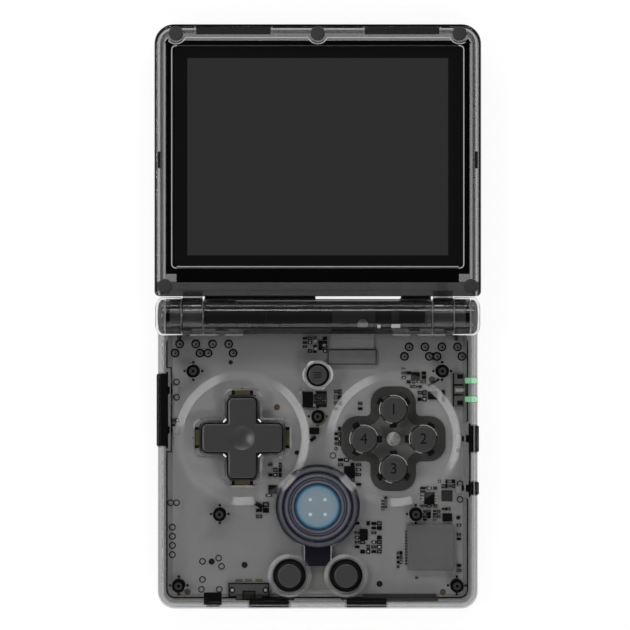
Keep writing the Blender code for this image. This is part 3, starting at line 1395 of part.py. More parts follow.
def make_round_buttons(make):
    """The four face buttons, the menu button, and the select and start buttons."""
    foot, flange_low, flange_top, top = button_levels()

    def place_button(name, x, y, profile, keys=()):
        pivot = make.pivot(name + "_axis", (x, y, foot))

        def cap(bm):
            add_turned(bm, profile, (x, y, 0))

        def lugs(bm):
            for angle in keys:
                turn = Matrix.Rotation(angle, 2)
                half = KEY_WIDTH / 2
                corners = [(FACE_RADIUS - BITE, -half), (KEY_LENGTH, -half), (KEY_LENGTH, half), (FACE_RADIUS - BITE, half)]
                outline = [tuple(turn @ Vector(c)) for c in corners]
                low, high = flange_low + BITE / 2, flange_top - BITE / 2
                add_plate(bm, shifted(outline, x, y), low, high)

        button = make.piece(name, cap, "control_grey", pivot)
        if keys:
            make.join(button, name + "_keys", lugs)

    def plain_profile(radius, flange):
        skirt = [(radius, foot), (radius, flange_low), (flange, flange_low)]
        return skirt + [(flange, flange_top), (radius, flange_top)] + edge_profile(radius, top, BUTTON_EDGE)

    third = 2 * math.pi / 3
    for name, x, y, inward in face_button_places():
        keys = (inward, inward + third, inward - third)
        place_button(name, x, y, plain_profile(FACE_RADIUS, FACE_FLANGE), keys)
    place_button("menu_button", 0, MENU_Y, plain_profile(MENU_RADIUS, MENU_FLANGE))
    collar_top = BASE_TOP - SMALL_COLLAR_DROP
    for name, x in (("select_button", -SMALL_X), ("start_button", SMALL_X)):
        profile = [(SMALL_RADIUS, foot), (SMALL_RADIUS, flange_low), (SMALL_FLANGE, flange_low)]
        profile += [(SMALL_FLANGE, flange_top), (SMALL_COLLAR, flange_top), (SMALL_COLLAR, collar_top)]
        profile += [(SMALL_RADIUS, collar_top)] + edge_profile(SMALL_RADIUS, top, BUTTON_EDGE)
        place_button(name, x, SMALL_Y, profile)


def make_side_controls(make, board):
    """The volume rocker, the power and reset buttons, their switches and the status lights."""
    low, high = SIDE_CENTRE - SIDE_HEIGHT / 2, SIDE_CENTRE + SIDE_HEIGHT / 2
    flange_low, flange_high = low - SIDE_FLANGE, high + SIDE_FLANGE
    rocker_flange = -(INNER_WALL_X - ROCKER_FLANGE_DROP)
    rocker = make.pivot("volume_rocker_axis", (rocker_flange, ROCKER_Y, SIDE_CENTRE))

    def key_rings(face, wall, flange, y, half, side):
        """Sections of a side key from its face inwards, in Y and Z: crown, body, step and flange."""
        edge = SIDE_PROUD / 2
        sections = [(face, half - edge, low + edge, high - edge), (face - side * edge, half, low, high), (wall, half, low, high)]
        wide = half + SIDE_FLANGE
        sections += [(wall, wide, flange_low, flange_high), (flange, wide, flange_low, flange_high)]
        rings = []
        for x, reach, bottom, top in sections:
            corners = [(y - reach, bottom), (y + reach, bottom), (y + reach, top), (y - reach, top)]
            rings.append(across(corners, x))
        return rings

    def rocker_key(bm):
        face = -(OUTER_WALL_X + SIDE_PROUD)
        add_loft(bm, key_rings(face, rocker_flange, rocker_flange + SIDE_FLANGE_WIDTH, ROCKER_Y, ROCKER_HALF, -1))

    def rocker_stems(bm):
        for y in mirrored(ROCKER_STEM_OFFSET):
            ends = rocker_flange + SIDE_FLANGE_WIDTH / 2, rocker_flange + SIDE_FLANGE_WIDTH + STEM_LENGTH
            centre = ROCKER_Y + y
            half = STEM_HALF
            add_block(bm, *ends, centre - half, centre + half, SIDE_CENTRE - half, SIDE_CENTRE + half)

    key = make.piece("volume_rocker", rocker_key, "control_grey", rocker)
    make.join(key, "rocker_stems", rocker_stems)
    wall = INNER_WALL_X - SEAT_GAP
    for name, y, half in (("power_button", POWER_Y, POWER_HALF), ("reset_button", RESET_Y, RESET_HALF)):
        pivot = make.pivot(name + "_axis", (wall, y, SIDE_CENTRE))

        def side_key(bm, y=y, half=half):
            add_loft(bm, key_rings(OUTER_WALL_X + SIDE_PROUD, wall, wall - SIDE_FLANGE_WIDTH, y, half, 1))

        def side_stem(bm, y=y):
            ends = wall - SIDE_FLANGE_WIDTH - SIDE_BUTTON_STEM, wall - SIDE_FLANGE_WIDTH / 2
            half = STEM_HALF
            add_block(bm, *ends, y - half, y + half, SIDE_CENTRE - half, SIDE_CENTRE + half)

        key = make.piece(name, side_key, "control_grey", pivot)
        make.join(key, name + "_stem", side_stem)

    def switch(bm, tip, y, side):
        """One side switch with its plunger, its tip towards the wall."""
        body = tip - side * SIDE_PLUNGER_LENGTH
        ends = sorted((body, body - side * SIDE_SWITCH_DEPTH))
        low, high = BOARD_TOP - BITE, BOARD_TOP + SIDE_SWITCH_HEIGHT
        add_block(bm, *ends, y - SIDE_SWITCH_HALF, y + SIDE_SWITCH_HALF, low, high)

    def plunger(bm, tip, y, side):
        ends = sorted((tip, tip - side * (SIDE_PLUNGER_LENGTH + BITE)))
        half = SIDE_PLUNGER_HALF
        add_block(bm, *ends, y - half, y + half, SIDE_CENTRE - half, SIDE_CENTRE + half)

    left_tip = rocker_flange + SIDE_FLANGE_WIDTH + STEM_LENGTH + RUN_GAP
    right_tip = wall - SIDE_FLANGE_WIDTH - SIDE_BUTTON_STEM - SIDE_TRAVEL_ROOM
    places = [(left_tip, ROCKER_Y + y, -1) for y in mirrored(ROCKER_STEM_OFFSET)]
    places += [(right_tip, POWER_Y, 1), (right_tip, RESET_Y, 1)]

    def bodies(bm):
        for tip, y, side in places:
            switch(bm, tip, y, side)

    def plungers(bm):
        for tip, y, side in places:
            plunger(bm, tip, y, side)

    make.join(board, "side_switches", bodies)
    make.join(board, "side_plungers", plungers)
    light_start = OUTER_WALL_X - LIGHT_LENGTH

    def lights(bm):
        for y in (LIGHT_REAR_Y, LIGHT_FRONT_Y):
            half = LIGHT_HALF
            add_block(bm, light_start, OUTER_WALL_X + BITE / 2, y - half, y + half, LIGHT_LEVEL - half, LIGHT_LEVEL + half)

    def light_bar(bm):
        half = LIGHT_HALF - BITE / 2
        ends = light_start + BITE / 2, light_start + LIGHT_BAR
        add_block(bm, *ends, LIGHT_FRONT_Y, LIGHT_REAR_Y, LIGHT_LEVEL - half, LIGHT_LEVEL + half)

    def holder(bm):
        middle = (LIGHT_REAR_Y + LIGHT_FRONT_Y) / 2
        end = light_start - SEAT_GAP
        low, high = BOARD_TOP - BITE, BOARD_TOP + HOLDER_HEIGHT
        add_block(bm, end - HOLDER_DEPTH, end, middle - HOLDER_HALF, middle + HOLDER_HALF, low, high)

    guide = make.piece("light_guide", lights, "light_green")
    make.join(guide, "light_bar", light_bar)
    make.join(board, "light_holder", holder)


def make_shoulders(make, board):
    """The four shoulder buttons at the rear and the switches they press."""
    names = ("left_outer_shoulder", "right_outer_shoulder", "left_inner_shoulder", "right_inner_shoulder")
    inner_face = BASE_REAR - WALL - SEAT_GAP
    middle = (SHOULDER_LOW + SHOULDER_HIGH) / 2
    switch_middle = BASE_FLOOR + SEAT_GAP + (UNDER_BOARD - BASE_FLOOR - SEAT_GAP) / 2
    for name, (x, half) in zip(names, shoulder_places()):
        pivot = make.pivot(name + "_axis", (x, inner_face, middle))

        def key(bm, x=x, half=half):
            face = BASE_REAR + SHOULDER_PROUD
            edge, wide = SHOULDER_EDGE, SHOULDER_FLANGE
            back = inner_face - SHOULDER_FLANGE_THICKNESS
            sections = [(face, edge / 2), (face - edge / 2, 0), (inner_face, 0), (inner_face, -wide), (back, -wide)]
            rings = []
            for y, inset in sections:
                low, high = SHOULDER_LOW, SHOULDER_HIGH
                sides = (x - half, x + half, low, high)
                corner = SHOULDER_EDGE + edge
                outline = rounded_outline(*sides, corner, corner, inset, steps=EDGE_STEPS)
                rings.append([Vector((px, y, pz)) for px, pz in outline])
            add_loft(bm, rings)

        def stem(bm, x=x):
            width = SHOULDER_STEM_HALF
            ends = -SHOULDER_STEM_END, inner_face - SHOULDER_FLANGE_THICKNESS / 2
            add_block(bm, x - width, x + width, *ends, switch_middle - width, switch_middle + width)

        button = make.piece(name, key, "control_grey", pivot)
        make.join(button, name + "_stem", stem)

    def switch_pair(middle):
        def switches(bm):
            for x in mirrored(middle):
                width = SHOULDER_SWITCH_HALF
                low, high = BASE_FLOOR + SEAT_GAP, BOARD_LEVEL + BITE
                add_block(bm, x - width, x + width, -SHOULDER_SWITCH_FRONT, -SHOULDER_SWITCH_REAR, low, high)

        return switches

    def plungers(bm):
        for x, half in shoulder_places():
            start = -SHOULDER_SWITCH_REAR - BITE
            profile = [(SHOULDER_PLUNGER_RADIUS, start), (SHOULDER_PLUNGER_RADIUS, start + BITE + SHOULDER_PLUNGER_LENGTH)]
            add_turned(bm, profile, (x, 0, switch_middle), axis="Y", segments=SMALL_SEGMENTS)

    make.join(board, "outer_shoulder_switches", switch_pair(OUTER_SHOULDER_X))
    make.join(board, "inner_shoulder_switches", switch_pair(INNER_SHOULDER_X))
    make.join(board, "shoulder_plungers", plungers)


def make_lid_shells(make, lid):
    """The screen half's front frame and back shell, with the two hinge ears on the frame."""
    rim = LID_SEAM + SEAT_GAP / 2

    def frame_tray(bm):
        rings = [at_level(lid_outline(LID_WALL), LID_CEILING), at_level(lid_outline(LID_WALL), rim), at_level(lid_outline(), rim)]
        add_loft(bm, rings + edge_rings(lid_outline, LID_FACE, LID_FACE_EDGE))

    frame = make.piece("lid_front_frame", frame_tray, "smoke_case", lid)

    def bosses(bm):
        for x, y in lid_boss_places():
            profile = [(LID_BOSS_RADIUS, rim + SEAT_GAP), (LID_BOSS_RADIUS, LID_CEILING + BITE)]
            add_turned(bm, profile, (x, y, 0), segments=SMALL_SEGMENTS)

    def ears(bm):
        for side in (-1, 1):
            add_bar(bm, hinge_disc(BARREL_RADIUS, FINE_SEGMENTS), side * EAR_START, side * EAR_END)

    def necks(bm):
        low, high = HINGE_HEIGHT - NECK_UNDERSIDE, HINGE_HEIGHT - NECK_TOP
        for side in (-1, 1):
            ends = sorted((side * (EAR_START + BITE / 8), side * (EAR_END - BITE / 8)))
            add_block(bm, *ends, BARREL_BORE + BITE / 2, LID_REAR + LID_WALL - BITE / 2, low, high)

    def window(bm):
        sides = (-WINDOW_HALF, WINDOW_HALF, WINDOW_LOW, WINDOW_HIGH)
        outline = rounded_outline(*sides, WINDOW_CORNER, WINDOW_CORNER, steps=CORNER_STEPS)
        add_plate(bm, outline, LID_CEILING - OVERRUN, LID_FACE + OVERRUN)

    def ear_bores(bm):
        for side in (-1, 1):
            add_bar(bm, hinge_disc(BARREL_BORE), side * (EAR_START - OVERRUN), side * (EAR_END + OVERRUN))

    def ribbon_channel(bm):
        level = HINGE_HEIGHT - LID_RIBBON_DEPTH
        ends = LID_RIBBON_START - SEAT_GAP, LID_RIBBON_END + SEAT_GAP
        far = LID_REAR + LID_WALL + OVERRUN
        add_block(bm, *ends, BARREL_BORE - BITE, far, level - SEAT_GAP, level + RIBBON + SEAT_GAP)

    def screw_holes(bm):
        seat = LID_FACE + COVER_PROUD - COVER_THICKNESS - SEAT_GAP - SCREW_HEAD_HEIGHT - SEAT_GAP
        for x, y in lid_boss_places():
            profile = [(BOSS_PILOT, LID_SEAM - OVERRUN), (BOSS_PILOT, seat), (COVER_POCKET, seat), (COVER_POCKET, LID_FACE + OVERRUN)]
            add_turned(bm, profile, (x, y, 0), segments=SMALL_SEGMENTS)

    def face_pockets(bm):
        for side in (-1, 1):
            ends = sorted((side * SLOT_START, side * SLOT_END))
            add_block(bm, *ends, SLOT_LOW, SLOT_HIGH, LID_FACE - SLOT_DEPTH, LID_FACE + OVERRUN)
            outer = LID_WIDTH / 2 - CATCH_INSET
            ends = sorted((side * outer, side * (outer - CATCH_WIDTH)))
            add_block(bm, *ends, CATCH_LOW, CATCH_HIGH, LID_FACE - CATCH_DEPTH, LID_FACE + OVERRUN)

    make.join(frame, "lid_bosses", bosses)
    make.join(frame, "ears", ears)
    make.join(frame, "necks", necks)
    make.cut(frame, "screen_window", window)
    make.cut(frame, "ear_bores", ear_bores)
    make.cut(frame, "ribbon_channel", ribbon_channel)
    make.cut(frame, "lid_screw_holes", screw_holes)
    make.cut(frame, "face_pockets", face_pockets)
    low_rim = LID_SEAM - SEAT_GAP / 2

    def back_tray(bm):
        rings = [at_level(lid_outline(LID_WALL), LID_FLOOR), at_level(lid_outline(LID_WALL), low_rim), at_level(lid_outline(), low_rim)]
        add_loft(bm, rings + edge_rings(lid_outline, LID_BACK, LID_BACK_EDGE, towards=-1, steps=4))

    back = make.piece("lid_back_shell", back_tray, "smoke_case", lid)

    def pillars(bm):
        for x, y in lid_boss_places():
            profile = [(LID_PILLAR_RADIUS, LID_FLOOR - BITE), (LID_PILLAR_RADIUS, low_rim - SEAT_GAP)]
            add_turned(bm, profile, (x, y, 0), segments=SMALL_SEGMENTS)

    def ribs(bm):
        top = panel_underside() - SEAT_GAP
        for y in (RIB_LOW_Y, RIB_HIGH_Y):
            add_block(bm, -RIB_HALF, RIB_HALF, y, y + RIB_THICKNESS, LID_FLOOR - BITE, top)

    def pilots(bm):
        for x, y in lid_boss_places():
            profile = [(BOSS_PILOT, LID_FLOOR + BITE), (BOSS_PILOT, low_rim + OVERRUN)]
            add_turned(bm, profile, (x, y, 0), segments=SMALL_SEGMENTS)

    make.join(back, "lid_pillars", pillars)
    make.join(back, "lid_ribs", ribs)
    make.cut(back, "lid_pilots", pilots)


def panel_underside():
    """The back of the screen panel."""
    return LID_FACE - LENS_DROP - LENS_THICKNESS - SEAT_GAP - PANEL_THICKNESS


def make_screen(make, lid):
    """Lens, panel, sealing gasket, lid ribbon, screws with their bonded covers, and the buffer strips."""
    lens_low = LID_FACE - LENS_DROP - LENS_THICKNESS

    def lens(bm):
        def outline(inset):
            sides = (-WINDOW_HALF, WINDOW_HALF, WINDOW_LOW, WINDOW_HIGH)
            corner = WINDOW_CORNER
            return rounded_outline(*sides, corner, corner, SEAT_GAP + inset, steps=CORNER_STEPS)

        rings = [at_level(outline(0), lens_low)] + edge_rings(outline, lens_low + LENS_THICKNESS, SEAT_GAP, steps=1)
        add_loft(bm, rings)

    def panel(bm):
        outline = rounded_outline(-PANEL_HALF, PANEL_HALF, PANEL_LOW, PANEL_HIGH, PANEL_CORNER, PANEL_CORNER, steps=2)
        add_plate(bm, outline, panel_underside(), panel_underside() + PANEL_THICKNESS)

    gasket_high = LID_CEILING - SEAT_GAP
    gasket_low = gasket_high - GASKET_THICKNESS

    def gasket_plate(bm):
        quarter = math.pi / 2
        top = GASKET_HIGH - GASKET_CORNER
        points = arc(GASKET_HALF - GASKET_CORNER, top, GASKET_CORNER, 0, quarter, 3)
        points += arc(-GASKET_HALF + GASKET_CORNER, top, GASKET_CORNER, quarter, 2 * quarter, 3)
        points += [(-GASKET_HALF, GASKET_LOW), (-GASKET_TAB_HALF, GASKET_LOW), (-GASKET_TAB_HALF, GASKET_TAB_LOW)]
        points += [(GASKET_TAB_HALF, GASKET_TAB_LOW), (GASKET_TAB_HALF, GASKET_LOW), (GASKET_HALF, GASKET_LOW)]
        add_plate(bm, points, gasket_low, gasket_high)

    def gasket_window(bm):
        sides = (-WINDOW_HALF, WINDOW_HALF, WINDOW_LOW, WINDOW_HIGH)
        outline = rounded_outline(*sides, WINDOW_CORNER, WINDOW_CORNER, -SEAT_GAP / 4, steps=CORNER_STEPS)
        add_plate(bm, outline, gasket_low - OVERRUN, gasket_high + OVERRUN)

    def gasket_notches(bm):
        radius = LID_BOSS_RADIUS + SEAT_GAP
        for x, y in lid_boss_places():
            profile = [(radius, gasket_low - OVERRUN), (radius, gasket_high + OVERRUN)]
            add_turned(bm, profile, (x, y, 0), segments=SMALL_SEGMENTS)

    def ribbon(bm):
        level = HINGE_HEIGHT - LID_RIBBON_DEPTH
        add_block(bm, LID_RIBBON_START, LID_RIBBON_END, LID_RIBBON_NEAR, LID_RIBBON_FAR, level, level + RIBBON)

    make.piece("screen_lens", lens, "screen_glass", lid)
    make.piece("screen_panel", panel, "screen_panel", lid)
    gasket = make.piece("screen_gasket", gasket_plate, "black_rubber", lid)
    make.cut(gasket, "gasket_window", gasket_window)
    make.cut(gasket, "gasket_notches", gasket_notches)
    make.piece("lid_ribbon", ribbon, "ribbon", lid)
    cover_low = LID_FACE + COVER_PROUD - COVER_THICKNESS
    head_top = cover_low - SEAT_GAP

    for number, (x, y) in enumerate(lid_boss_places(), 1):

        def screw(bm, x=x, y=y):
            low = head_top - SCREW_HEAD_HEIGHT
            profile = [(SCREW_RADIUS, low - LID_SCREW_LENGTH), (SCREW_RADIUS, low)]
            profile += [(SCREW_HEAD_RADIUS, low), (SCREW_HEAD_RADIUS, cover_low), (COVER_RADIUS, cover_low)]
            profile += edge_profile(COVER_RADIUS, LID_FACE + COVER_PROUD, COVER_PROUD, 1)
            add_turned(bm, profile, (x, y, 0), segments=SMALL_SEGMENTS)

        make.piece(f"lid_screw_{number}", screw, "black_rubber", lid)
    for side, name in ((-1, "buffer_strip_left"), (1, "buffer_strip_right")):

        def strip(bm, side=side):
            low = LID_FACE - SLOT_DEPTH + SEAT_GAP
            ends = sorted((side * (SLOT_START + STRIP_GAP), side * (SLOT_END - STRIP_GAP)))
            add_block(bm, *ends, SLOT_LOW + STRIP_GAP, SLOT_HIGH - STRIP_GAP, low, low + STRIP_THICKNESS)

        make.piece(name, strip, "black_rubber", lid)


def main():
    for obj in list(bpy.data.objects):
        bpy.data.objects.remove(obj)
    make = Maker()
    lid = make.pivot("lid_axis", HINGE_POINT)
    make_base_top(make)
    make_base_bottom(make)
    make_fixings(make)
    make_hinge(make, lid)
    board = make_board(make)
    make_sockets(make)
    make_power(make)
    make_speaker(make)
    make_sheets(make)
    make_direction_pad(make)
    make_round_buttons(make)
    make_side_controls(make, board)
    make_shoulders(make, board)
    make_lid_shells(make, lid)
    make_screen(make, lid)


main()
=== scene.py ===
import math

import bmesh
import bpy
import numpy as np
from mathutils import Matrix, Vector


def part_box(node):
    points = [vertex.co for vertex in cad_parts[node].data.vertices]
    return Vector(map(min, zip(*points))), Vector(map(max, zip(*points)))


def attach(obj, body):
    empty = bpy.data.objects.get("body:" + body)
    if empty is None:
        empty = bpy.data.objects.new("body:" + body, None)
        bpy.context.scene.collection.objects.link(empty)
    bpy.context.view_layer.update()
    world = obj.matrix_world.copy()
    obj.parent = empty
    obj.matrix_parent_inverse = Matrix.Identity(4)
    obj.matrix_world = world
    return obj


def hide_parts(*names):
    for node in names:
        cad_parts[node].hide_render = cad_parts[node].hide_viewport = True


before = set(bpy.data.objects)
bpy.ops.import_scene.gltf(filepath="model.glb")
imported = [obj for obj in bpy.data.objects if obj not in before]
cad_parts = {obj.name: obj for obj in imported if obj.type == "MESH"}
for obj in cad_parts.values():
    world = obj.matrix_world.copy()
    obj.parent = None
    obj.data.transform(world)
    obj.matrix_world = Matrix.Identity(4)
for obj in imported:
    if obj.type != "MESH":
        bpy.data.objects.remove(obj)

bl_info = {
    "name": "Clamshell console",
    "version": (1, 0, 0),
    "blender": (4, 5, 0),
    "location": "View3D > Sidebar > Console",
    "description": "Dresses the packed clamshell console: smoked clear case, board, screen, hinge and keys",
    "category": "Add Mesh",
}

MM = 0.001
TURN = 2 * math.pi
RIGHT_ANGLE = math.pi / 2
SIDES = (-1, 1)


def node_box(node):
    """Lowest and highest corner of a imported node, in millimetres."""
    low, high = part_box(node)
    return np.array(low) / MM, np.array(high) / MM


LENS_LOW, LENS_HIGH = node_box("screen_lens")
PAD_LOW, PAD_HIGH = node_box("direction_pad")
HINGE_LOW, HINGE_HIGH = node_box("hinge_click_module")

# Levels above the table, in millimetres as every size here
HINGE_Z = float(HINGE_LOW[2] / 2 + HINGE_HIGH[2] / 2)
TOP = HINGE_Z - 0.25
WALL = 1.6
CEILING = TOP - WALL
BOARD_TOP = 8.0

# Barrel of the hinge, about its axis
BARREL_IN, BARREL_OUT = 3.4, 4.8
CORE_OUT = 3.15
CAP_X = 41.65

# Places seen from above, as x and y
BOSSES = [(0, -27.3), (-34.0, -14.9), (34.0, -14.9), (-26.8, -54.0), (26.8, -54.0), (-38.0, -73.5), (38.0, -73.5)]
LID_BOSSES = [(0, 77.1), (-38.6, 77.1), (38.6, 77.1), (-41.7, 8.3), (41.7, 8.3)]
PAD = (-20.6, -33.1)
CLUSTER = (20.65, -33.4)
MENU = (0, -15.9)
SPEAKER_Y = -51.9
LOWER_KEY_Y = -70.6
LOWER_KEYS = [("select_button", -7.7), ("start_button", 7.7)]
LIGHTS_Y = (-17.5, -22.6)
SHOULDERS = (26.4, 36.0)
JACK_X, JACK_Z = -28.7, 4.55

# Face keys: node, place from the cluster's middle, the way to the middle, and the numeral
FACE_KEYS = [
    ("button_right", 8.1, 0.0, math.pi, "2"),
    ("button_top", 0.0, 8.1, -RIGHT_ANGLE, "1"),
    ("button_left", -8.1, 0.0, 0.0, "4"),
    ("button_bottom", 0.0, -8.1, RIGHT_ANGLE, "3"),
]


# Shapes

def rounded(x0, x1, y0, y1, low, high, inset=0.0, steps=10):
    """A rectangle with round corners, counter-clockwise.

    Each corner is centre + r (cos a, sin a) for a over a quarter turn. low and high are the radii at y0 and y1.
    """
    x0, x1, y0, y1 = x0 + inset, x1 - inset, y0 + inset, y1 - inset
    low, high = max(low - inset, 0.02), max(high - inset, 0.02)
    centres = np.array([(x1 - low, y0 + low), (x1 - high, y1 - high), (x0 + high, y1 - high), (x0 + low, y0 + low)])
    radii = np.array([low, high, high, low])
    angle = np.linspace(0, RIGHT_ANGLE, steps + 1)[None, :] + (np.arange(4) * RIGHT_ANGLE - RIGHT_ANGLE)[:, None]
    ring = np.stack([np.cos(angle), np.sin(angle)], -1) * radii[:, None, None] + centres[:, None, :]
    return ring.reshape(-1, 2)


def plus_shape(reach, half, end, inner, steps=6):
    """A plus sign about the origin: one arm's outer, inner and next outer corner arcs, turned to the four sides."""
    quarter = np.linspace(0, RIGHT_ANGLE, steps + 1)

    def arc(cx, cy, radius, angle):
        """Centre + r (cos a, sin a)."""
        return np.stack([cx + radius * np.cos(angle), cy + radius * np.sin(angle)], -1)

    arm = np.concatenate([
        arc(reach - end, half - end, end, quarter),
        arc(half + inner, half + inner, inner, 3 * RIGHT_ANGLE - quarter),
        arc(half - end, reach - end, end, quarter),
    ])
    turn = np.arange(4)[:, None] * RIGHT_ANGLE
    x = np.cos(turn) * arm[:, 0] - np.sin(turn) * arm[:, 1]
    y = np.sin(turn) * arm[:, 0] + np.cos(turn) * arm[:, 1]
    return np.stack([x, y], -1).reshape(-1, 2)


def polar(radius, angle):
    """Points r (cos a, sin a) about the origin."""
    return np.column_stack([radius * np.cos(angle), radius * np.sin(angle)])


def arc_band(inner, outer, angle):
    """The outline of a band along an arc: out along the outer radius and back along the inner one."""
    return np.concatenate([polar(outer, angle), polar(inner, angle)[::-1]])


def normals_of(path):
    """Unit normals of a flat path: its tangent turned by a right angle."""
    tangent = np.gradient(path, axis=0)
    normal = np.column_stack([-tangent[:, 1], tangent[:, 0]])
    return normal / np.linalg.norm(normal, axis=1, keepdims=True)


def stroke(path, reach):
    """The outline of a line: the path moved by reach to one side, and back on the other."""
    return np.concatenate([path - reach, (path + reach)[::-1]])


def sided(side, near, far):
    """The lower and upper x of a span from near to far of the middle, on the left (-1) or the right (1)."""
    return sorted((side * near, side * far))


def lift(outline, z, x=0.0, y=0.0):
    """A flat outline as a ring of points at height z, moved by x and y."""
    return np.column_stack([outline[:, 0] + x, outline[:, 1] + y, np.full(len(outline), z)])


def along(outline, x):
    """An outline in Y and Z as a ring at x."""
    return np.column_stack([np.full(len(outline), x), outline])


def skin(rings, closed=False, caps=True):
    """A surface through rings of equally many points: quads between ring i and i + 1, and a cap at each end."""
    grid = np.asarray(rings)
    rows, count = grid.shape[:2]
    i, j = np.meshgrid(np.arange(rows if closed else rows - 1), np.arange(count), indexing="ij")
    up, over = (i + 1) % rows, (j + 1) % count
    faces = np.stack(
        [i * count + j, i * count + over, up * count + over, up * count + j], -1,
    ).reshape(-1, 4).tolist()
    if caps and not closed:
        faces += [list(range(count))[::-1], list(range((rows - 1) * count, rows * count))]
    return grid.reshape(-1, 3), faces


def plate(outline, low, high, x=0.0, y=0.0):
    """An upright prism."""
    return skin([lift(outline, low, x, y), lift(outline, high, x, y)])


def soft_plate(outline_at, low, high, edge, steps=4, both=True):
    """A prism whose edges are quarter rounds.

    The outline moves in by edge (1 - cos a) as it nears the face by edge (1 - sin a).
    """
    angle = np.linspace(0, RIGHT_ANGLE, steps + 1)
    inset, drop = edge * (1 - np.cos(angle)), edge * (1 - np.sin(angle))
    top = [lift(outline_at(i), high - d) for i, d in zip(inset, drop)]
    bottom = [
        lift(outline_at(i), low + d)
        for i, d in zip(inset, drop)
    ][::-1] if both else [lift(outline_at(0), low)]
    return skin(bottom + top)


def lathe(profile, centre=(0, 0, 0), axis="Z", steps=48, closed=False):
    """A turned surface: the profile's radius and height swept through a full turn about the axis through centre."""
    profile = np.array(profile, float)
    angle = np.arange(steps) * TURN / steps
    radius, height = profile[:, :1], np.repeat(profile[:, 1:], steps, 1)
    flat = [radius * np.cos(angle), radius * np.sin(angle)]
    order = {
        "Z": (flat[0], flat[1], height), "X": (height, flat[0], flat[1]), "Y": (flat[1], height, flat[0]),
    }[axis]
    return skin(np.stack(order, -1) + np.array(centre), closed)


def quarter_round(radius, top, edge, steps=5):
    """A lathe profile's rounded shoulder, from its side up to its flat top."""
    angle = np.linspace(0, RIGHT_ANGLE, steps + 1)
    return list(zip(radius - edge + edge * np.cos(angle), top - edge + edge * np.sin(angle)))


def blocks(places, low, height, edge=0.06):
    """Many small blocks at once, each with a base, a shoulder and a smaller top.

    Each row holds x, y, length, width and turn.
    """
    places = np.array(places, float)
    x, y, length, width, turn = places.T
    level = np.array([low, low + height - edge, low + height])
    shrink = np.array([0.0, 0.0, edge])
    corner = np.array([(-1, -1), (1, -1), (1, 1), (-1, 1)], float)
    u = corner[None, None, :, 0] * (length[:, None, None] / 2 - shrink[None, :, None])
    v = corner[None, None, :, 1] * (width[:, None, None] / 2 - shrink[None, :, None])
    c, s = np.cos(turn)[:, None, None], np.sin(turn)[:, None, None]
    px, py = x[:, None, None] + c * u - s * v, y[:, None, None] + s * u + c * v
    points = np.stack([px, py, np.broadcast_to(level[None, :, None], px.shape)], -1)
    side = [
        [r * 4 + k, r * 4 + (k + 1) % 4, r * 4 + 4 + (k + 1) % 4, r * 4 + 4 + k]
        for r in (0, 1)
        for k in range(4)
    ]
    one = np.array(side + [[3, 2, 1, 0], [8, 9, 10, 11]])
    faces = (one[None] + (np.arange(len(places)) * 12)[:, None, None]).reshape(-1, 4)
    return points.reshape(-1, 3), faces.tolist()


def turned_at(places, profile, steps=48, closed=False):
    """One upright turned surface, repeated at many places."""
    return merged([lathe(profile, (x, y, 0), steps=steps, closed=closed) for x, y in places])


def rings_at(places, inner, outer, low, high, steps=24):
    """Flat rings, all alike, at many places."""
    return turned_at(places, [(inner, low), (outer, low), (outer, high), (inner, high)], steps, closed=True)


def merged(parts):
    """Several surfaces as one list of points and faces."""
    points, faces, start = [], [], 0
    for p, f in parts:
        points.append(np.asarray(p))
        faces += [[start + i for i in face] for face in f]
        start += len(p)
    return np.concatenate(points), faces


def ribbon_path(path, middle, width, thickness):
    """A flat strip along a path in Y and Z.

    It reaches half its width to each side of middle in X, and half its thickness off the path.
    """
    path = np.array(path, float)
    outline = stroke(path, -normals_of(path) * thickness / 2)
    return skin([along(outline, middle - width / 2), along(outline, middle + width / 2)])


# Pieces

SHARP = math.radians(32)
BEVELLED = math.radians(38)
FLAT = math.radians(1.5)
TOUCHING = 2e-6
FINISHES = {}


def linked(name, data):
    """An object in the scene for a mesh, curve, lamp or camera."""
    obj = bpy.data.objects.new(name, data)
    bpy.context.scene.collection.objects.link(obj)
    return obj


def mesh_object(name, surface):
    """An object at the origin with its place in its mesh."""
    points, faces = surface
    mesh = bpy.data.meshes.new(name)
    mesh.from_pydata((np.asarray(points) * MM).tolist(), [], faces)
    return linked(name, mesh)


def closed_up(obj, joined=TOUCHING):
    """Merges touching points and turns the faces outwards."""
    bm = bmesh.new()
    bm.from_mesh(obj.data)
    bmesh.ops.remove_doubles(bm, verts=bm.verts, dist=joined)
    bmesh.ops.recalc_face_normals(bm, faces=bm.faces)
    bm.to_mesh(obj.data)
    bm.free()


def carve(obj, *steps):
    """Cuts surfaces out of a piece, or joins them to it, and keeps the result as its mesh.

    Each step is an operation and a surface.
    """
    helpers = []
    for operation, surface in steps:
        helper = mesh_object(obj.name + "_tool", surface)
        closed_up(helper)
        modifier = obj.modifiers.new("carve", "BOOLEAN")
        modifier.operation, modifier.object, modifier.solver = operation, helper, "EXACT"
        helpers.append(helper)
    graph = bpy.context.evaluated_depsgraph_get()
    result = bpy.data.meshes.new_from_object(obj.evaluated_get(graph))
    obj.modifiers.clear()
    obj.data = result
    for helper in helpers:
        bpy.data.objects.remove(helper)


